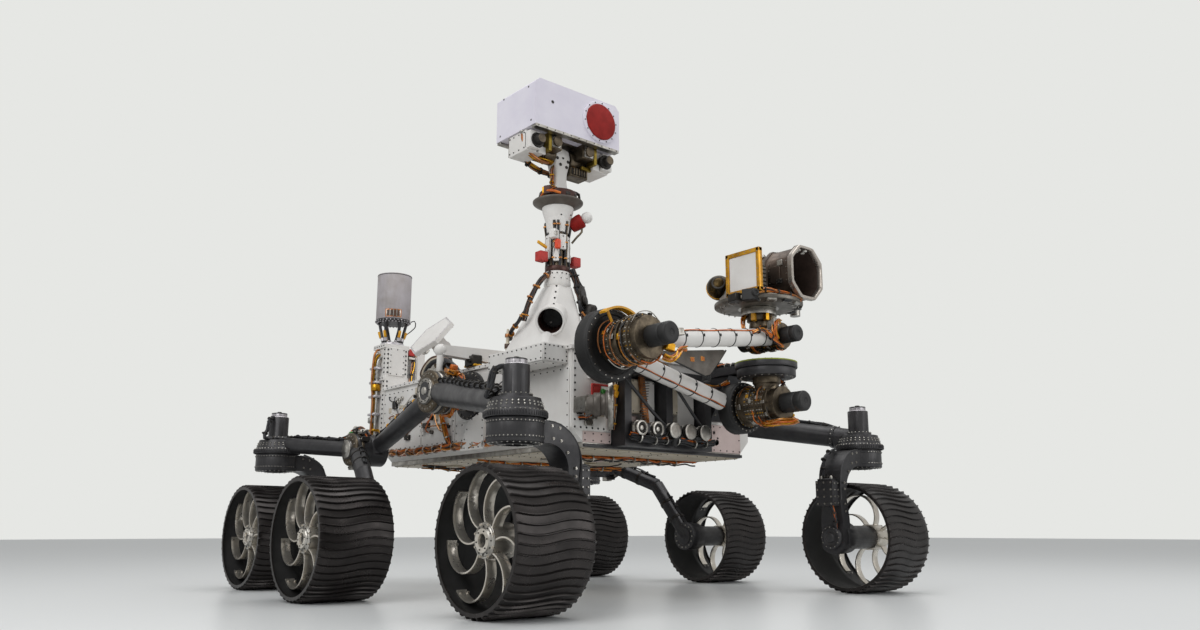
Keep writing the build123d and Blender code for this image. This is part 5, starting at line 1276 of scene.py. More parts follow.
# %% Side, rear and under panels
pink_white = finish("warm_white_paint", "#cdb9b4", "#bda8a2", 0.45, cloud_mm=120,
    grain_mm=2.0, grain=0.05)
beige = finish("beige_box_paint", "#c4b9a6", "#b0a591", 0.5, cloud_mm=80, grain_mm=2.0, grain=0.06)
green_tag = jacket("green_connector", "#3f8f3a", "#2f7a2e", 0.45)
BODY_TRIM = (white_paint, bare_metal, dark_housing, beige, black_braid, *LEADS)
SIDE_X, NOSE_Y, TAIL_Y = 560.0, -800.0, 850.0
GOLDEN = (5, 6, 7, 4)
sides = Piece("side_panels", "chassis", *BODY_TRIM, red_tag, pink_white, saucer_grey,
    white_wire, yellow_tag)
for side in (-1, 1):

    def start(y, low, high):
        return side * SIDE_X, y, low if side > 0 else high

    for y0, y1, low, high in ((-788, -440, 712, 980), (-430, -186, 712, 1036), (-176, 96, 712, 806),
            (106, 420, 712, 1036), (430, 836, 712, 1036)):
        sides.sheet(start(y0, low, high), (0, y1 - y0, 0), (0, 0, side * (high - low)), 5, 0, 2, 48)
    sides.clutter(start(110, 760, 1030), (0, 300, 0), (0, 0, side * 270), 26, (0, 1, 3, 3, 2, 10),
        (8, 34), (16, 70), seed=111 + side, wires=16, wire=3.2, jackets=GOLDEN)
    sides.clutter(start(440, 760, 1030), (0, 380, 0), (0, 0, side * 270), 18, (0, 1, 3, 2), (6, 24),
        (20, 80), seed=121 + side, wires=8, wire=3.0, jackets=(4, 11, 7))
    sides.clutter(start(-420, 760, 980), (0, 230, 0), (0, 0, side * 220), 12, (0, 3, 1, 0), (6, 22),
        (20, 60), seed=131 + side, wires=5, wire=3.0, jackets=(4, 11))
    sides.harness(flip(side, [(572, -420, 700), (576, -160, 690), (580, 140, 694), (578, 460, 692),
        (574, 800, 704)]), 16, 4.0, 17, GOLDEN, tie=1, tie_every=90, seed=141)
    sides.harness(flip(side, [(574, 120, 700), (592, 150, 780), (590, 190, 880), (584, 240, 960),
        (578, 260, 1030)]), 10, 3.4, 14, (5, 6, 5, 4), tie=1, seed=142)
    wedge = [(-190, 850), (-190, 668), (10, 668), (-58, 806)][::side]
    sides.grid([[(side * x, y, z) for y, z in wedge] for x in (562, 592)], 0, caps=True)
    sides.bolts([(side * 592, y, z)
        for y, z in ((-180, 836), (-180, 800), (-180, 764), (-180, 728), (-180, 692), (-150, 678),
        (-110, 678), (-70, 678), (-30, 678), (-30, 720), (-50, 766), (-90, 812), (-140, 830))],
        (side, 0, 0), 3.4, 3, 2)
    sides.bolts([(side * 574, y, 1061) for y in range(-790, 850, 48)], (side, 0, 0), 3.2, 2.4, 2)
    sides.bolt_circle((side * 586, -40, 930), (side, 0, 0), 214, 20, 4, 4, 1)
for x0, x1, y0, y1 in ((-490, -10, -790, -260), (10, 490, -790, -260), (-490, -10, -240, 280),
        (10, 490, -240, 280), (-490, -10, 300, 830), (10, 490, 300, 830)):
    sides.sheet((x0, y1, 640), (x1 - x0, 0, 0), (0, y0 - y1, 0), 4, 3, 2, 66)
sides.clutter((-380, 560, 636), (760, 0, 0), (0, -900, 0), 22, (3, 1, 9, 2), (5, 16), (40, 120),
    seed=151, wires=6, wire=4, jackets=(4, 5))
for y, seed in ((-520, 1), (40, 2), (560, 3)):
    sides.harness([(-470, y, 630), (-240, y + 24, 624), (0, y - 16, 626), (240, y + 20, 624),
        (470, y, 630)], 7, 4, 13, (4, 6, 5), tie=1, tie_every=110, seed=150 + seed)
sides.sheet((556, TAIL_Y, 712), (-1112, 0, 0), (0, 0, 330), 5, 0, 2, 56)
sides.clutter((540, TAIL_Y + 5, 720), (-300, 0, 0), (0, 0, 300), 20, (0, 1, 3, 2), (8, 30),
    (20, 80), seed=161, wires=9, wire=3.4, jackets=(4, 5, 11))
sides.clutter((-190, TAIL_Y + 5, 720), (-190, 0, 0), (0, 0, 300), 16, (0, 1, 3, 2), (8, 30),
    (20, 70), seed=162, wires=9, wire=3.4, jackets=(4, 5, 11))
sides.done(slot="white_paint")

# %% Nose, shelf and bay
nose = Piece("nose_panels", "chassis", *BODY_TRIM, red_tag, pink_white, saucer_grey, yellow_tag,
    green_tag, black_anodised, shroud_black, grey_paint)
nose.sheet((-556, NOSE_Y, 712), (212, 0, 0), (0, 0, 330), 5, 0, 2, 30, size=3.6)
nose.sheet((-500, NOSE_Y, 660), (156, 0, 0), (0, 0, 48), 4, 9, 2, 40)
nose.sheet((206, NOSE_Y, 660), (290, 0, 0), (0, 0, 130), 5, 9, 2, 48)
nose.sheet((360, NOSE_Y, 800), (196, 0, 0), (0, 0, 240), 5, 0, 2, 40)
nose.box((0, NOSE_Y - 6, 648), (1000, 12, 14), 13, 2)
nose.box((-430, NOSE_Y - 26, 990), (84, 46, 40), 15, 3)
nose.bolts([(-430 + x, NOSE_Y - 49, 990 + z) for x in (-34, -12, 12, 34) for z in (-13, 13)],
    FRONT, 3.2, 3, 2)
nose.box((-444, NOSE_Y - 16, 944), (70, 22, 26), 0, 2)
for x in (-470, -452, -434, -416):
    nose.turned((x, NOSE_Y - 26, 944), FRONT, [(0, 6), (8, 6), (8, 3)], 2, 16)
for z in (906, 852):
    nose.box((-420, NOSE_Y - 30, z), (108, 8, 8), 8, 1)
for x in (-470, -370):
    nose.box((x, NOSE_Y - 28, 879), (9, 9, 58), 8, 1)
nose.box((-446, NOSE_Y - 26, 882), (34, 12, 50), 8, 2, turn=(0, 20, 0))
for x, z, turn in ((-404, 880, 20), (-390, 872, -30), (-412, 866, 60)):
    nose.box((x, NOSE_Y - 34, z), (38, 14, 11), 12, 2, turn=(0, turn, 0))
nose.box((-398, NOSE_Y - 22, 894), (50, 20, 16), 0, 2)
nose.harness([(-360, NOSE_Y - 30, 1020), (-350, NOSE_Y - 44, 960), (-356, NOSE_Y - 40, 880),
    (-350, NOSE_Y - 30, 800), (-354, NOSE_Y - 24, 720)], 8, 3.2, 11, (4, 3, 7, 5), tie=11,
    tie_every=80, seed=171)
for z in (1012, 986, 900, 872):
    nose.box((-352, NOSE_Y - 46, z), (20, 16, 30), 11, 3, turn=(0, 24, 0))
nose.clutter((-545, NOSE_Y - 5, 730), (170, 0, 0), (0, 0, 110), 10, (0, 1, 3, 2), (5, 22), (14, 44),
    seed=172, wires=4, wire=2.6, jackets=(4, 5))
shelf_x, shelf_y = -690.0, -770.0
nose.sheet((shelf_x, shelf_y, 994), (130, 0, 0), (0, 0, 74), 4, 0, 2, 22, 8, 3.4)
nose.sheet((shelf_x, shelf_y, 1068), (0, 400, 0), (0, 0, -74), 4, 0, 2, 34, 9, 3.4)
nose.sheet((shelf_x + 4, -374, 992), (122, 0, 0), (0, -392, 0), 4, 0, 2, 56)
nose.harness([(-480, NOSE_Y - 18, 1058), (-452, NOSE_Y - 60, 1046), (-420, NOSE_Y - 96, 1020),
    (-370, NOSE_Y - 106, 990), (-330, NOSE_Y - 98, 972)], 12, 5.0, 18, (4, 4, 14), tie=2,
    tie_every=60, seed=173)
for x0, x1, z0, z1, paint, deep in ((-296, -196, 800, 950, 3, 40), (-188, -100, 700, 952, 0, 26),
        (-72, 30, 812, 950, 3, 44), (40, 150, 700, 940, 0, 30), (-300, -200, 700, 790, 9, 20),
        (-72, 30, 700, 800, 3, 18)):
    nose.box(((x0 + x1) / 2, NOSE_Y - deep / 2, (z0 + z1) / 2), (x1 - x0, deep, z1 - z0), paint, 4)
    nose.bolts([(x, NOSE_Y - deep, z) for x in (x0 + 10, (x0 + x1) / 2, x1 - 10)
        for z in (z0 + 9, z1 - 9)], FRONT, 3, 2.6, 2)
nose.box((-192, NOSE_Y - 50, 862), (34, 14, 210), 7, 3, turn=(0, -8, 0))
for n in range(17):
    nose.box((-206 + 1.7 * n, NOSE_Y - 58, 766 + 12 * n), (38, 6, 4), 10, 1, turn=(0, -8, 0))
nose.tube([(-330, -880, 950), (-330, -884, 940), (-176, -896, 800), (-60, -900, 712)],
    8, 13, 14, 40)
nose.tube([(-60, -896, 950), (60, -900, 820), (170, -896, 712)], 7, 13, 14, 40)
for x in range(-296, -90, 34):
    nose.tube([(x, -892, 962), (x + 34, -892, 1000)], 3, 13, 8, 40)
    nose.tube([(x + 34, -892, 962), (x, -892, 1000)], 3, 13, 8, 40)
for n in range(5):
    x, face = -280.0 + 96 * n, -928.0
    if n < 2:
        nose.turned((x, face, 726), FRONT, [(-30, 30), (-28, 35), (-14, 35), (-12, 31), (0, 31),
            (2, 34), (7, 34), (9, 31), (9, 24), (1, 22)], 1, 44)
        nose.turned((x, face, 726), FRONT, [(0, 22), (6, 21), (6, 14), (2, 13)], 2, 32)
        nose.turned((x, face, 726), FRONT, [(0, 12), (4, 12), (6, 8), (6, 0)], 1, 28)
    else:
        for y in (-24, -10, 4):
            nose.turned((x, face - y - 6, 726), FRONT,
                [(0, 24), (0, 34), (4, 36), (7, 34), (7, 24)], 1 if y != -10 else 2, 44)
        nose.turned((x, face - 10, 726), FRONT, [(0, 26), (4, 25), (6, 16), (2, 14), (2, 0)], 2, 32)
    nose.box((x + 48, -900, 726), (34, 46, 42), 13, 4)
    nose.bolts([(x + 48 + d, -923, 726 + e) for d in (-10, 10) for e in (-12, 12)], FRONT,
        2.8, 2.4, 1)
nose.harness([(-330, -912, 690), (-220, -930, 676), (-90, -920, 684), (40, -934, 674),
    (190, -914, 688)], 9, 4, 15, (4, 4, 5, 14), tie=1, tie_every=80, seed=176)
for x in (-190, -70, 60):
    nose.turned((x, -922, 684), (0.2, -1, -0.5),
        [(0, 20), (0, 26), (10, 28), (14, 24), (14, 0)], 14, 30)
nose.clutter((210, NOSE_Y - 5, 800), (150, 0, 0), (0, 0, -130), 9, (8, 1, 13, 3), (6, 26), (16, 50),
    seed=177, wires=5, wire=3.2, jackets=(4, 5))
nose.clutter((366, NOSE_Y - 5, 810), (184, 0, 0), (0, 0, 220), 14, (13, 1, 0, 14), (6, 30),
    (18, 60), seed=178, wires=7, wire=3.4, jackets=(4, 5, 7))
port = np.array((-452.0, -912.0, 812.0))
port_way = unit((0.74, -0.67, 0.0))
nose.turned(port + port_way * 18, port_way, [(-0.5, 96), (2.5, 95), (2.5, 88), (0.5, 86)], 1, 72)
nose.bolt_circle(port + port_way * 18, port_way, 196, 18, 3, 2.5, 2)
nose.turned(port, -port_way,
    [(0, 60), (10, 60), (14, 46), (30, 44), (34, 50), (60, 50), (64, 42), (92, 42)], 10, 48)
nose.done(slot="white_paint")

# %% Deck
top = Piece("deck_details", "chassis", *BODY_TRIM, gold_metal, saucer_grey, white_wire, yellow_tag)
for x0, x1, y0, y1 in ((-340, 120, -780, -420), (140, 550, -780, -300), (-340, 120, -400, -160),
        (-550, -30, 120, 400), (20, 550, 120, 430), (20, 130, 450, 830), (390, 550, 330, 830),
        (-260, 0, 430, 830)):
    top.sheet((x0, y0, 1070), (x1 - x0, 0, 0), (0, y1 - y0, 0), 5, 0, 1, 52)
# Corner, width, depth and how many housings
PATCHES = ((150, -770, 390, 450, 26), (-330, -770, 440, 340, 20), (-540, 130, 490, 260, 22),
    (30, 130, 360, 290, 20), (-250, 440, 240, 380, 14), (400, 350, 140, 470, 12))
for seed, (x, y, wide, deep, count) in enumerate(PATCHES, 181):
    top.clutter((x, y, 1075), (wide, 0, 0), (0, deep, 0), count, (0, 0, 1, 3, 9, 2, 8), (6, 46),
        (24, 100), seed=seed, wires=9, wire=3.4, jackets=(4, 5, 10, 7))
top.harness([(-440, -340, 1084), (-430, -200, 1086), (-420, 60, 1084), (-440, 300, 1086),
    (-470, 420, 1084)], 14, 4, 17, (4, 5, 10, 7), tie=1, tie_every=90, seed=191)
top.harness([(-300, -380, 1084), (-60, -360, 1086), (200, -380, 1084), (300, -520, 1088),
    (300, -780, 1084)], 12, 4, 16, (4, 6, 5), tie=1, tie_every=90, seed=192)
top.turned((250, 560, 1086), UP, [(-2, 40), (0, 44), (3, 44), (3, 40)], 1, 48)
top.bolts([(250 + x, 560 + y, 1086) for x in (-118, -60, 60, 118) for y in (-90, 90)],
    UP, 4.5, 4, 2)
top.turned((0, -10, 1070), UP, [(0, 66), (8, 70), (20, 70), (22, 64)], 1, 56)
top.box((-560, -40, 1100), (60, 70, 56), 2, 5)
top.turned((-588, -58, 1104), (-1, -0.3, 0), [(0, 17), (14, 17), (16, 13), (16, 8), (12, 7)], 2, 28)
top.box((-540, -40, 1076), (90, 90, 10), 8, 2)
top.done(slot="white_paint")

# %% [markdown]
# ## Steering drives and legs
# Each corner wheel steers about an upright motor. The motor has flutes down its sides and a pale
# cap, and stands on a coned housing with two rows of silver bolts and a toothed rim. Below it the
# steered disc carries the leg. The housing belongs to the rocker or the bogie and the disc to
# the leg; here the housing hangs on the chassis and the disc on the steered leg, so they are two
# pieces on two bodies, and no cable crosses from one to the other.

# %% Steering drives
CORNERS = (
    ("front_left", 1, -1100, (745, -40, 930), 50, 60),
    ("front_right", -1, -1100, (745, -40, 930), 50, 60),
    ("rear_left", 1, 1065, (845, 570, 695), 40, 40),
    ("rear_right", -1, 1065, (845, 570, 695), 40, 40),
)
cap_silver = finish("pale_cap_metal", "#cdc9cc", "#b9b5b9", 0.32, metallic=0.55, cloud_mm=30,
    grain_mm=1.4, grain=0.04)
DRIVE_TRIM = (black_anodised, bare_metal, cap_silver, black_braid, dark_housing, orange_wire,
    amber_tape, yellow_tag, brown_metal)
for place, side, y, far, near_r, far_r in CORNERS:
    x = side * 1060.0
    housing = Piece(f"steer_drive_{place}", "chassis", *DRIVE_TRIM)
    axis = (x, y, 0)
    housing.turned(axis, UP, [(690.3, 90), (690.3, 113), (693, 116), (711, 116), (714.3, 112),
        (716, 108), (724, 104), (748, 95), (758, 93), (762, 89), (762, 70), (764, 62), (776, 62),
        (778, 58), (778, 46)], 0, 96)
    for radius, z, count, lean in ((111, 714.3, 40, 0.0), (100.5, 733, 30, 0.9), (97, 744, 30, 0.9),
            (60, 777, 20, 0.0)):
        for a in turns(count):
            housing.bolts([(x, y, z) + radius * ray(a)], UP + lean * ray(a),
                3.3 if radius > 70 else 2.8, 3.4, 1)
    for n in range(72):
        housing.box((x, y, 702) + 116.5 * ray(radians(5 * n)), (4, 4.4, 17), 0, 0.8,
            turn=(0, 0, 5 * n))
    rows = []
    for z, shrink in ((770, 1.0), (775, 0), (866, 0), (872, 1.5), (880, 2.5), (885, 6)):
        ring = []
        for a in turns(144):
            flute = max(0.0, cos(6 * a + 0.6)) ** 0.7 * (5.5 if 774 < z < 868 else 1.5)
            ring.append((x, y, z) + (50 - shrink - flute) * ray(a))
        rows.append(ring)
    housing.grid(rows, 0, caps=True)
    housing.turned((x, y, 885), UP,
        [(-4, 46), (0, 47), (3, 46), (4, 40), (18, 40), (22, 37), (23, 32), (23, 0)], 2, 48)
    housing.bolt_circle((x, y, 908), UP, 54, 6, 2.6, 2, 4)
    housing.turned((x, y, 906), UP, [(0, 12), (8, 12), (10, 10), (10, 0)], 4, 24)
    near, end = np.array((x, y, 742.0)), np.array((side * far[0], far[1], far[2]))
    way = unit(end - near)
    rise = np.cross(way, np.cross(UP, way))
    rise /= norm(rise)
    out = np.cross(way, rise) * side

    def on_tube(t, turn):
        """A point just off the tube, at a share of its length and an angle round it."""
        reach = near_r + (far_r - near_r) * t + 7
        return near + (end - near) * t + (rise * cos(turn) + out * sin(turn)) * reach

    loop_side = np.array((side * 0.85, 0.5 if y < 0 else -0.5, 0))
    for shift, seed in ((0.0, 1), (0.35, 2)):
        housing.harness([(x, y, 880) + loop_side * 44, (x, y, 868) + loop_side * (66 + 8 * seed),
            (x, y, 810) + loop_side * (78 + 10 * seed), (x, y, 770) + loop_side * 108,
            on_tube(0.13, 0.5 + shift), on_tube(0.25, 0.1 + shift), on_tube(0.5, 0.15 + shift),
            on_tube(0.75, shift), on_tube(0.92, 0.1 + shift)], 5, 4.2, 8, (3, 3, 3), tie=4,
            tie_every=74, seed=200 + seed)
    for t in (0.16, 0.3, 0.44, 0.58, 0.72, 0.86):
        spot = on_tube(t, 0.12)
        housing.box(spot - rise * 3, (12, 26, 14), 4, 2, axes=(way, np.cross(rise, way), rise))
        housing.bolts([spot + rise * 4], rise, 3, 2.6, 1)
    turned_at = near + way * 132
    if y < 0:
        housing.turned(turned_at, way,
            [(-10, near_r), (-10, near_r + 6), (8, near_r + 6), (12, near_r + 2)], 0, 48)
        for a in turns(14):
            spoke = rise * cos(a) + np.cross(way, rise) * sin(a)
            housing.bolts([turned_at + spoke * (near_r + 5.6)], spoke, 3, 2.6, 1)
    housing.done(slot="black_anodised")

    leg = Piece(f"leg_details_{place}", f"steer_{place}", *DRIVE_TRIM, wheel_black, shroud_black)
    leg.turned((x, y, 604), DOWN, [(-2, 104), (0.6, 104), (3, 101), (3, 92), (0.4, 90), (0.4, 66),
        (7, 62), (9, 58), (9, 44), (2, 42), (2, 0)], 0, 88)
    leg.turned((x, y, 604), DOWN, [(0.6, 89), (0.8, 67)], 10, 64)
    leg.bolt_circle((x, y, 601), DOWN, 193, 28, 3, 2.6, 1)
    leg.bolt_circle((x, y, 595), DOWN, 102, 10, 3, 2.6, 1, 8)
    for z in (676, 622):
        leg.turned((x, y, z), UP, band(-5, 5, 103, 106), 0, 96)
        for a in turns(44):
            if cos(a) * side > -0.62:
                leg.bolts([(x, y, z) + 105.5 * ray(a)], ray(a), 2.8, 2.4, 1)
    for dy in (-1, 1):
        leg.bolts([(side * px, y + dy * 62, pz) for px, pz in ((940, 668), (934, 622), (905, 662),
            (898, 616), (828, 520), (828, 490), (828, 420), (828, 385), (868, 575))], (0, dy, 0),
            4.2, 3.6, 1)
        leg.tube(flip(side, [(956, y + dy * 60, 684), (900, y + dy * 60, 675),
            (838, y + dy * 60, 632), (803, y + dy * 60, 560), (801, y + dy * 58, 440)]),
            3.4, 0, 8, 20)
    box_x = side * 749.0
    leg.bolts([(box_x, y + dy, 470 + dz) for dy in (-38, 0, 38) for dz in (-50, -17, 17, 50)],
        (-side, 0, 0), 3.6, 3, 1)
    leg.bolts([(side * px, y + dy * 48, 470 + dz) for dy in (-1, 1) for px in (762, 788)
        for dz in (-46, -16, 16, 46)], BACK, 3.4, 3, 1)
    leg.bolts([(side * px, y - 51, 470 + dz) for px in (762, 788) for dz in (-46, -16, 16, 46)],
        FRONT, 3.4, 3, 1)
    leg.box((side * 775, y, 534), (44, 80, 10), 0, 2)
    for n in range(4):
        leg.turned((side * 772, y - 27 + 18 * n, 538), UP, [(0, 7), (12, 7), (12, 5), (16, 5)],
            (1, 4, 4, 1)[n], 18)
    leg.harness(flip(side, [(772, y + 20, 552), (780, y + 24, 596),
        (800, y + 30, 640), (850, y + 34, 676), (896, y + 34, 692)]), 5, 3.6, 8, (3, 3, 3), tie=4,
        tie_every=60, seed=211)
    leg.harness(flip(side, [(772, y - 18, 412), (776, y - 30, 370), (786, y - 34, 330),
        (794, y - 26, 300)]), 6, 3.6, 9, (3, 3, 5), tie=4, tie_every=50, seed=212)
    leg.turned((side * 787, y, AXLE_Z), (-side, 0, 0),
        [(0, 54), (6, 52), (8, 44), (2, 42), (2, 24), (10, 22), (12, 18), (12, 0)], 0, 56)
    leg.bolt_circle((side * 781, y, AXLE_Z), (-side, 0, 0), 96, 12, 3.2, 3, 1)
    leg.turned((side * 857, y, AXLE_Z), (side, 0, 0),
        [(44, 74), (48, 72), (50, 60), (60, 58)], 0, 64)
    leg.bolt_circle((side * 904, y, AXLE_Z), (side, 0, 0), 132, 14, 3.6, 3, 1)
    leg.done(slot="black_anodised")
print("corners:", len(CORNERS))

# %% [markdown]
# ## Rocker and bogie
# A rocker hangs from a silver pivot on each side of the body, and the bogie from a smaller one
# behind. Both pivots are stacks of machined rings. Cables follow the tubes, held by clips.

# %% Pivots and tube cables
for side, place in ((1, "left"), (-1, "right")):
    joint = Piece(f"rocker_pivot_{place}", "chassis", *DRIVE_TRIM, copper_wire, saucer_grey,
        green_tag, white_wire)
    out = (side, 0, 0)
    for paint, ring in (
        (8, [(0, 80), (-3, 98), (0, 100.5), (10, 100.5), (12, 98.4)]),
        (1, [(22, 98), (24, 101), (34, 101), (36, 98)]),
        (8, [(50, 98), (52, 102.5), (72, 102.5), (74, 98)]),
        (1, [(86, 98), (88, 101), (98, 101), (100, 98)]),
        (8, [(112, 98), (114, 101), (124, 100), (127, 96), (127, 64), (130, 62), (130, 60)]),
    ):
        joint.turned((side * 683, -40, 930), out, ring, paint, 72)
    joint.bolt_circle((side * 810, -40, 930), out, 166, 22, 3.6, 3.4, 1)
    joint.turned((side * 807, -40, 930), out, [(3, 62), (14, 62), (20, 57), (20, 44), (16, 42),
        (16, 20), (24, 18), (26, 14), (26, 0)], 1, 56)
    joint.bolt_circle((side * 827, -40, 930), out, 100, 10, 3.2, 3, 4)
    for a in turns(34):
        joint.bolts([(side * 745, -40 + 102 * cos(a), 930 + 102 * sin(a))],
            (0, cos(a), sin(a)), 3, 2.6, 1)
    for n in range(6):
        x = side * (590 + 17 * n)
        joint.turned((x, -40, 930), out, band(0, 7, 70, 76), (8, 1)[n % 2], 56)
    for seed, start, turn in ((1, 0.3, 2.4), (2, 2.1, 1.9), (3, 3.6, 2.2)):
        route = []
        for k in range(7):
            a, reach = start + turn * k / 6, 108 + 6 * sin(k)
            x = side * (640 + 22 * seed + 8 * sin(2.4 * k))
            route.append((x, -40 + reach * cos(a), 930 + reach * sin(a)))
        joint.harness(route, 5, 3.0, 8, (5, 6, 9, 3), tie=6, seed=220 + seed)
    joint.box((side * 716, -96, 1026), (60, 40, 26), 6, 3, turn=(24, 0, 0))
    joint.box((side * 712, -110, 1046), (34, 20, 22), 5, 3, turn=(24, 0, 0))
    joint.harness(flip(side, [(735, -110, 1014), (724, -60, 1064), (700, 20, 1060), (660, 70, 1030),
        (600, 90, 1010)]), 12, 4.6, 17, (3, 3, 3), tie=4, tie_every=90, seed=225)
    start, end = np.array((side * 745.0, -40.0, 930.0)), np.array((side * 753.0, 570.0, 695.0))
    way = unit(end - start)
    rise = np.array((0.0, -way[2], way[1]))
    joint.harness([start + way * t + rise * (62 - t * 0.012) for t in (90, 220, 360, 500, 600)], 6,
        3.8, 9, (3, 3, 9, 3), tie=7, tie_every=84, seed=226)
    for t in (150, 290, 430, 560):
        joint.box(start + way * t + rise * (58 - t * 0.014), (14, 30, 16), 4, 2,
            axes=(way, np.cross(rise, way), rise))
    base = np.array((side * 890.0, 570.0, 695.0))
    joint.turned(base, out, [(-46, 80), (-44, 83), (-34, 83), (-32, 80)], 8, 64)
    joint.turned(base, out, [(-12, 80), (-10, 83), (-2, 82), (2, 76), (2, 50)], 8, 64)
    joint.turned(base, out, [(2, 48), (14, 48), (18, 44), (18, 20), (22, 16), (22, 0)], 1, 48)
    joint.bolt_circle(base + np.array((side * 2, 0, 0)), out, 130, 16, 3.4, 3.2, 1)
    for n, (dy, dz, a, b, paint) in enumerate(((-40, 88, 34, 26, 1), (10, 92, 46, 30, 4),
            (52, 70, 30, 30, 12), (70, 20, 26, 34, 1), (-70, 50, 30, 26, 4), (20, -88, 44, 24, 1),
            (-30, -84, 30, 22, 4))):
        joint.box((side * (836 + 6 * (n % 3)), 570 + dy, 695 + dz), (44, a, b), paint, 3)
        joint.bolts([(side * (860 + 6 * (n % 3)), 570 + dy + e, 695 + dz) for e in (-a / 3, a / 3)],
            out, 2.8, 2.6, 1)
    joint.box((side * 866, 600, 778), (18, 22, 20), 11, 2)
    joint.turned((side * 850, 628, 775), UP, [(0, 10), (16, 10), (18, 7), (24, 7)], 5, 20)
    joint.harness(flip(side, [(820, 500, 760), (836, 540, 796), (846, 600, 800), (850, 650, 770),
        (880, 720, 748)]), 9, 3.6, 13, (3, 9, 5, 3), tie=12, seed=227)
    knee, ankle = np.array((side * 958.0, 262.0, 560.0)), np.array((side * 977.0, 35.0, AXLE_Z))
    for a, b, seed in ((np.array((side * 845.0, 570.0, 695.0)), knee, 1), (knee, ankle, 2)):
        way = unit(b - a)
        rise = np.cross(way, (1, 0, 0))
        rise /= norm(rise) * (1 if rise[2] > 0 else -1)
        long = norm(b - a)
        joint.harness([a + way * long * t + rise * 45 for t in (0.24, 0.42, 0.6, 0.78, 0.93)], 5,
            3.4, 8, (3, 3), tie=4, tie_every=70, seed=230 + seed)
        for t in (0.36, 0.66):
            joint.turned(a + way * long * t, way, band(-8, 8, 40, 43), 4, 40)
    joint.bolt_circle((side * 951, 35, AXLE_Z), (-side, 0, 0), 128, 14, 3.6, 3.4, 1)
    joint.turned((side * 951, 35, AXLE_Z), (-side, 0, 0),
        [(-1, 50), (4, 50), (6, 46), (6, 20), (9, 16), (9, 0)], 0, 48)
    joint.done(slot="black_anodised")

# %% [markdown]
# ## Deck antennas and the tail
# Behind the body a bolted white column carries the tall relay antenna on six black struts. Beside
# it stands a six-sided antenna that turns and tilts, and between two tall white plates at the tail
# is the bolted ring that takes a power source. The relay can has a copper label field at its foot,
# which is left bare.

# %% Relay antenna and its column
CAN = (-478.0, 945.0, 0.0)
bronze = finish("bronze_block", "#8a6a34", "#6b5026", 0.34, metallic=0.9, cloud_mm=30,
    grain_mm=1.4, grain=0.12)
relay = Piece("relay_details", "chassis", white_paint, bare_metal, black_anodised, copper_wire,
    yellow_tag, shroud_black, gold_metal, red_tag, bronze, silver_wire, black_braid, cap_silver,
    grey_paint, brown_wire, at=CAN)
can = (0, 0, 0)
relay.turned(can, UP, [(1738, 96), (1738, 97.6), (1743, 97.6), (1743.5, 95), (1743.5, 0)], 12, 80)
relay.turned(can, UP, band(1736, 1739, 96.5, 98.2), 5, 80, hollow=True)
relay.turned(can, UP,
    [(1462, 60), (1462, 94), (1464, 99), (1474, 99.5), (1477, 97.6), (1479, 97)], 2, 80)
for a in turns(30):
    relay.bolts([(0, 0, 1462) + 90 * ray(a)], DOWN, 4, 4, 11)
    relay.bolts([(0, 0, 1469) + 99.3 * ray(a + 0.1)], ray(a + 0.1), 3, 2.6, 11)
for low, high, half, reach, paint in ((1484, 1530, 27, 98.0, 3), (1490, 1524, 23, 98.7, 13)):
    for middle in (-118, 62):
        rows = [[(0, 0, z) + reach * ray(a) for z in (low, high)]
            for a in np.radians(np.linspace(middle - half, middle + half, 13))]
        relay.grid(rows, paint, closed=False)
for n in range(5):
    a = radians(-140 + 11 * n)
    relay.box((0, 0, 1507) + 99 * ray(a), (4, 5, 40), 1, 1, turn=(0, 0, 11 * n - 140))
for n, angle in enumerate(range(30, 390, 60)):
    foot = radians(angle + (16 if angle % 120 == 30 else -16))
    head = radians(angle)
    low = (0, 0, 1338) + 50 * ray(foot)
    high = (0, 0, 1466) + 76 * ray(head)
    relay.tube([low, (low + high) / 2, high], 8.6, 2, 14, 20)
    relay.tube([low * 0.86 + high * 0.14, low * 0.72 + high * 0.28], 10.5, 11, 14, 8)
    relay.box(low * 0.5 + high * 0.5 + 6 * ray(head) - (0, 0, 10), (20, 12, 40), 4, 3,
        turn=(0, 18, angle))
relay.turned((0, 0, 1330), UP, [(0, 66), (11, 66), (13, 62), (13, 30), (22, 28), (22, 0)], 11, 48)
relay.bolt_circle((0, 0, 1342), UP, 116, 16, 3, 3, 2)
relay.tube([(70, -60, 1466), (100, -70, 1480), (112, -60, 1450), (90, -46, 1420), (60, -36, 1390),
    (50, -30, 1346)], 3, 10, 8)
for z in range(776, 1322, 26):
    if abs(z - 1132) > 16:
        for dx in (-56, 56):
            relay.bolts([(dx, -65, z)] if z > 1084 else [], FRONT, 4.2, 3.4, 2)
            relay.bolts([(dx, 65, z)], BACK, 4.2, 3.4, 2)
        for dy in (-52, 52):
            relay.bolts([(-70, dy, z)], (-1, 0, 0), 4.2, 3.4, 2)
            relay.bolts([(70, dy, z)] if z > 1084 else [], (1, 0, 0), 4.2, 3.4, 2)
for z in (771, 1132, 1318):
    relay.bolts([(-78, dy, z) for dy in range(-52, 66, 26)], (-1, 0, 0), 3.4, 3, 2)
relay.sheet((-50, -65, 1150), (100, 0, 0), (0, 0, 160), 4, 0, 2, 36)
for n, (dx, dy, r, paint) in enumerate(((-92, -20, 8, 9), (-94, 4, 7, 6), (-90, 28, 9, 1),
        (-108, -6, 6, 3))):
    relay.tube([(dx + 30, dy, 780), (dx, dy, 800), (dx, dy, 1000), (dx - 8 * (n % 2), dy + 6, 1120),
        (dx, dy, 1230 + 14 * n), (dx + 28, dy, 1262 + 12 * n)], r, paint, 14, 16)
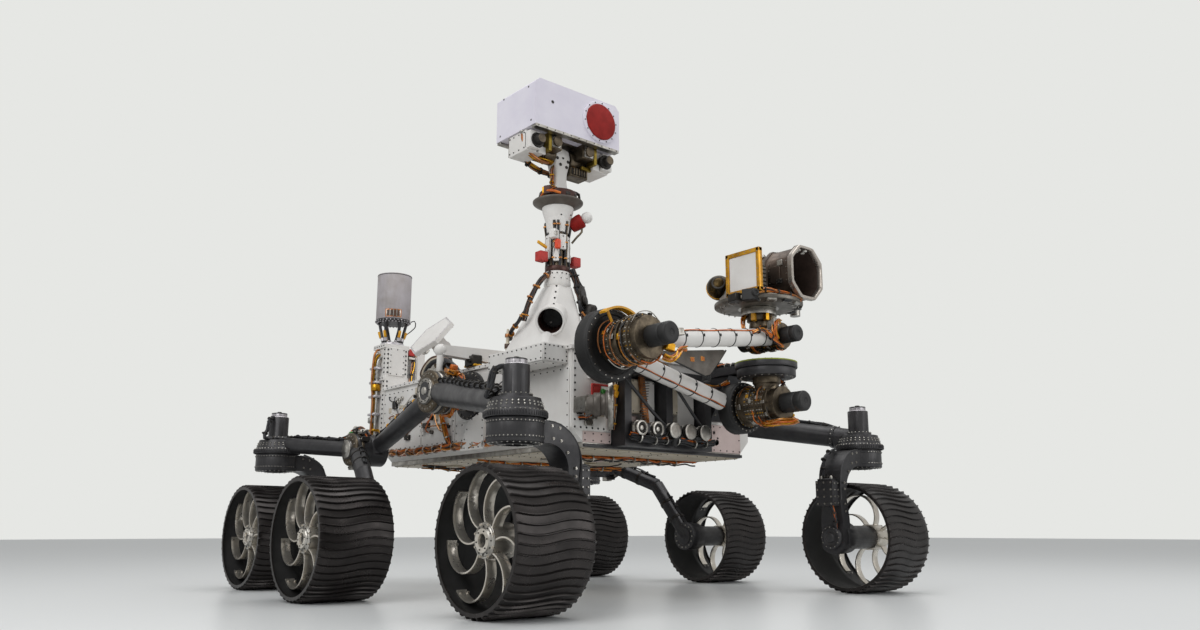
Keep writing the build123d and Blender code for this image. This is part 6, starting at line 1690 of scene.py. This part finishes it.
for z in (840, 930, 1030, 1110, 1190):
    relay.box((-92, 4, z), (40, 78, 14), 11 if z % 60 else 6, 3)
relay.turned((-94, -8, 1060), UP, [(0, 20), (4, 26), (36, 26), (40, 20), (40, 8)], 6, 32)
relay.turned((-96, 12, 880), UP, [(0, 18), (4, 24), (30, 24), (34, 18), (34, 8)], 9, 32)
relay.box((96, -40, 1296), (40, 44, 40), 7, 4)
relay.box((98, -40, 1262), (46, 50, 16), 1, 3)
for n in range(3):
    relay.box((136, -62 + 20 * n, 1290 - 6 * n), (30, 14, 36), (4, 5, 4)[n], 3)
relay.harness([(120, -40, 1270), (110, -60, 1220), (92, -66, 1160), (90, -76, 1090)], 8, 3, 10,
    (10, 6, 3), tie=10, seed=301)
relay.box((0, 4, 744), (150, 126, 30), 8, 4)
relay.box((-30, 4, 722), (70, 90, 18), 1, 3)
relay.bolts([(dx, -59, 744) for dx in (-60, -20, 20, 60)], FRONT, 4, 3.4, 1)
relay.harness([(-60, -60, 740), (-80, -110, 720), (-90, -200, 706), (-96, -300, 702)], 10, 3.8, 14,
    (3, 6, 10, 8), tie=1, seed=302)
relay.done(slot="white_paint")

# %% Six-sided antenna
slope = radians(50)
face_u, face_n = np.array(((cos(slope), 0, sin(slope)), (-sin(slope), 0, cos(slope))))
hub = np.array((-420.0, 490.0, 1262.0))


def spot(u, v, n):
    """A point given along the face's slope, from side to side and out of the face."""
    return hub + face_u * u + (0, v, 0) + face_n * n


plate6 = Piece("dish_details", "dish_face", white_paint, bare_metal, dark_housing, cap_silver)
edge_points = [(cos(radians(60 * n)), sin(radians(60 * n))) for n in range(6)]
for (ua, va), (ub, vb) in zip(edge_points, edge_points[1:] + edge_points[:1]):
    for t in (0.12, 0.37, 0.63, 0.88):
        u, v = (ua + (ub - ua) * t) * 138, (va + (vb - va) * t) * 138
        plate6.bolts([spot(u, v, 96)], face_n, 3, 2, 3)
        plate6.bolts([spot(u, v, 72)], -face_n, 3.4, 3, 2)
    plate6.tube([spot(ua * 30, va * 30, 68), spot(ua * 136, va * 136, 69)], 4, 0, 10, 40)
    plate6.tube([spot(ua * 92, va * 92, 69), spot(ub * 92, vb * 92, 69)], 4, 0, 10, 40)
plate6.turned(spot(0, 0, 70), -face_n, [(-2, 62), (1, 62), (2, 60), (2, 40)], 1, 40)
plate6.box(spot(104, 30, 63), (34, 34, 18), 2, 3, axes=(face_u, BACK, face_n))
plate6.box(spot(-104, -26, 63), (30, 40, 18), 1, 3, axes=(face_u, BACK, face_n))
plate6.grid([[spot(c * r, v * r, 96 + h) for c, v in edge_points]
    for r, h in ((146, 0.0), (146, 0.9), (142, 0.9), (142, 0.0))], 3)
plate6.done(slot="white_paint")
stand = Piece("dish_stand", "chassis", brown_metal, bare_metal, dark_housing, copper_wire,
    black_braid, white_wire, beige, brown_wire)
stand.turned((-420, 490, 1070), UP, [(0, 80), (14, 80), (18, 74), (18, 50), (26, 46), (52, 44),
    (60, 46), (70, 46), (74, 43), (104, 43), (109, 46)], 0, 56)
stand.bolt_circle((-420, 490, 1086), UP, 136, 14, 4, 4, 1)
stand.box((-377, 490, 1112), (24, 46, 36), 2, 3)
for n, (r, paint, reach) in enumerate(((13, 4, 0), (9, 6, 16), (7, 7, 28))):
    stand.tube([(-560, 360 + reach, 1030), (-606 - reach * 0.4, 330 + reach, 1084),
        (-616 - reach * 0.4, 250, 1128 + reach * 0.6), (-604, 160, 1130 + reach * 0.4),
        (-584, 96, 1092), (-566, 70, 1050)], r, paint, 14, 10)
stand.turned((-600, 300, 1100), (0.1, -1, 0.3), band(0, 16, 14, 20), 1, 28)
stand.box((-590, 230, 1084), (40, 60, 30), 1, 4)
stand.done(slot="bare_metal")
turntable = Piece("dish_turntable_details", "dish_pan", dark_housing, bare_metal, brown_metal,
    copper_wire, black_braid)
turntable.bolt_circle((-420, 490, 1204.3), UP, 96, 14, 3, 3, 1)
turntable.turned((-420, 490, 1186), UP, band(0, 10, 56, 58), 2, 56)
turntable.harness([(-396, 474, 1206), (-388, 472, 1226), (-392, 474, 1250)], 4, 2.6, 6,
    (3, 4), seed=305)
turntable.done(slot="dark_housing")

# %% Tail: plates, power source ring, stalk
tail = Piece("tail_details", "chassis", white_paint, bare_metal, dark_housing, copper_wire,
    black_braid, orange_wire, amber_tape, cap_silver, beige, gold_metal, red_tag, brown_wire,
    shroud_black)
for side in (-1, 1):
    x = side * 330.0
    for way in (-1, 1):
        start = (x + way * 23, 880, 790 if way > 0 else 1290)
        line_x = x + way * 28
        tail.sheet(start, (0, 430, 0), (0, 0, way * 500), 3, 0, 7, 46, size=3)
        for n in range(9):
            z = 830 + 50 * n
            tail.tube([(line_x, 900 if n % 2 else 904, z), (line_x, 1290, z)], 4, 7, 8, 60)
            tail.tube([(line_x, 1290 if n % 2 else 904, z),
                (line_x, 1300 if n % 2 else 894, z + 25), (line_x, 1290 if n % 2 else 904, z + 50)],
                4, 7, 8, 10)
    for z in (860, 1010, 1160):
        tail.tube(flip(side, [(240, 860, z), (268, 900, z + 10), (306, 960, z + 14)]),
            9, 12, 12, 14)
        tail.box((side * 306, 964, z + 14), (10, 40, 40), 1, 2)
tail.turned((0, 936, 900), BACK,
    [(0, 172), (0, 230), (0.5, 231), (23, 231), (24.5, 229), (24.5, 172)], 1, 96, hollow=True)
for n in range(36):
    a = radians(10 * n + 5)
    if n % 9 != 4:
        tail.bolts([(221 * cos(a), 960.5, 900 + 221 * sin(a))], BACK, 3.2, 2.4, 2)
for z, seed in ((700, 1), (1040, 2)):
    tail.harness([(-300, 868, z), (-150, 876, z + 14), (0, 868, z - 6), (150, 876, z + 12),
        (300, 868, z)], 8, 4, 13, (4, 3, 5), tie=1, seed=310 + seed)
tail.clutter((150, 856, 740), (-300, 0, 0), (0, 0, 300), 22, (0, 1, 2, 8, 9), (8, 44), (24, 80),
    seed=313, wires=10, wire=3.4, jackets=(3, 4, 5))
tail.turned((430, 300, 1070), UP, [(0, 40), (8, 40), (12, 34), (60, 32), (64, 24), (80, 18)], 1, 44)
tail.bolt_circle((430, 300, 1078), UP, 70, 8, 3, 3, 2)
for z in (1160, 1240, 1320, 1400, 1470):
    tail.turned((430, 300, z), UP, band(0, 12, 15, 17.5), 2 if z != 1470 else 0, 32)
tail.turned((430, 300, 1440), UP, [(0, 15.5), (4, 22), (20, 24), (24, 20), (24, 10)], 0, 32)
tail.harness([(446, 310, 1150), (450, 314, 1240), (446, 310, 1330), (446, 308, 1430)], 3, 2.4, 5,
    (4, 3), tie=4, seed=315)
low_aerial = (-612.0, -400.0)
tail.turned((*low_aerial, 1070), UP, [(0, 18), (6, 18), (8, 9), (30, 9), (34, 13), (58, 13),
    (60, 8), (84, 8), (86, 12), (104, 12), (108, 7), (124, 5), (126, 0)], 8, 28)
tail.turned((*low_aerial, 1104), UP, band(0, 20, 13, 14.5), 11, 28)
tail.turned((*low_aerial, 1156), UP, band(0, 14, 12, 13.2), 3, 28)
tail.done(slot="white_paint")

# %% Finish
print("added triangles:", sum(counts.values()))
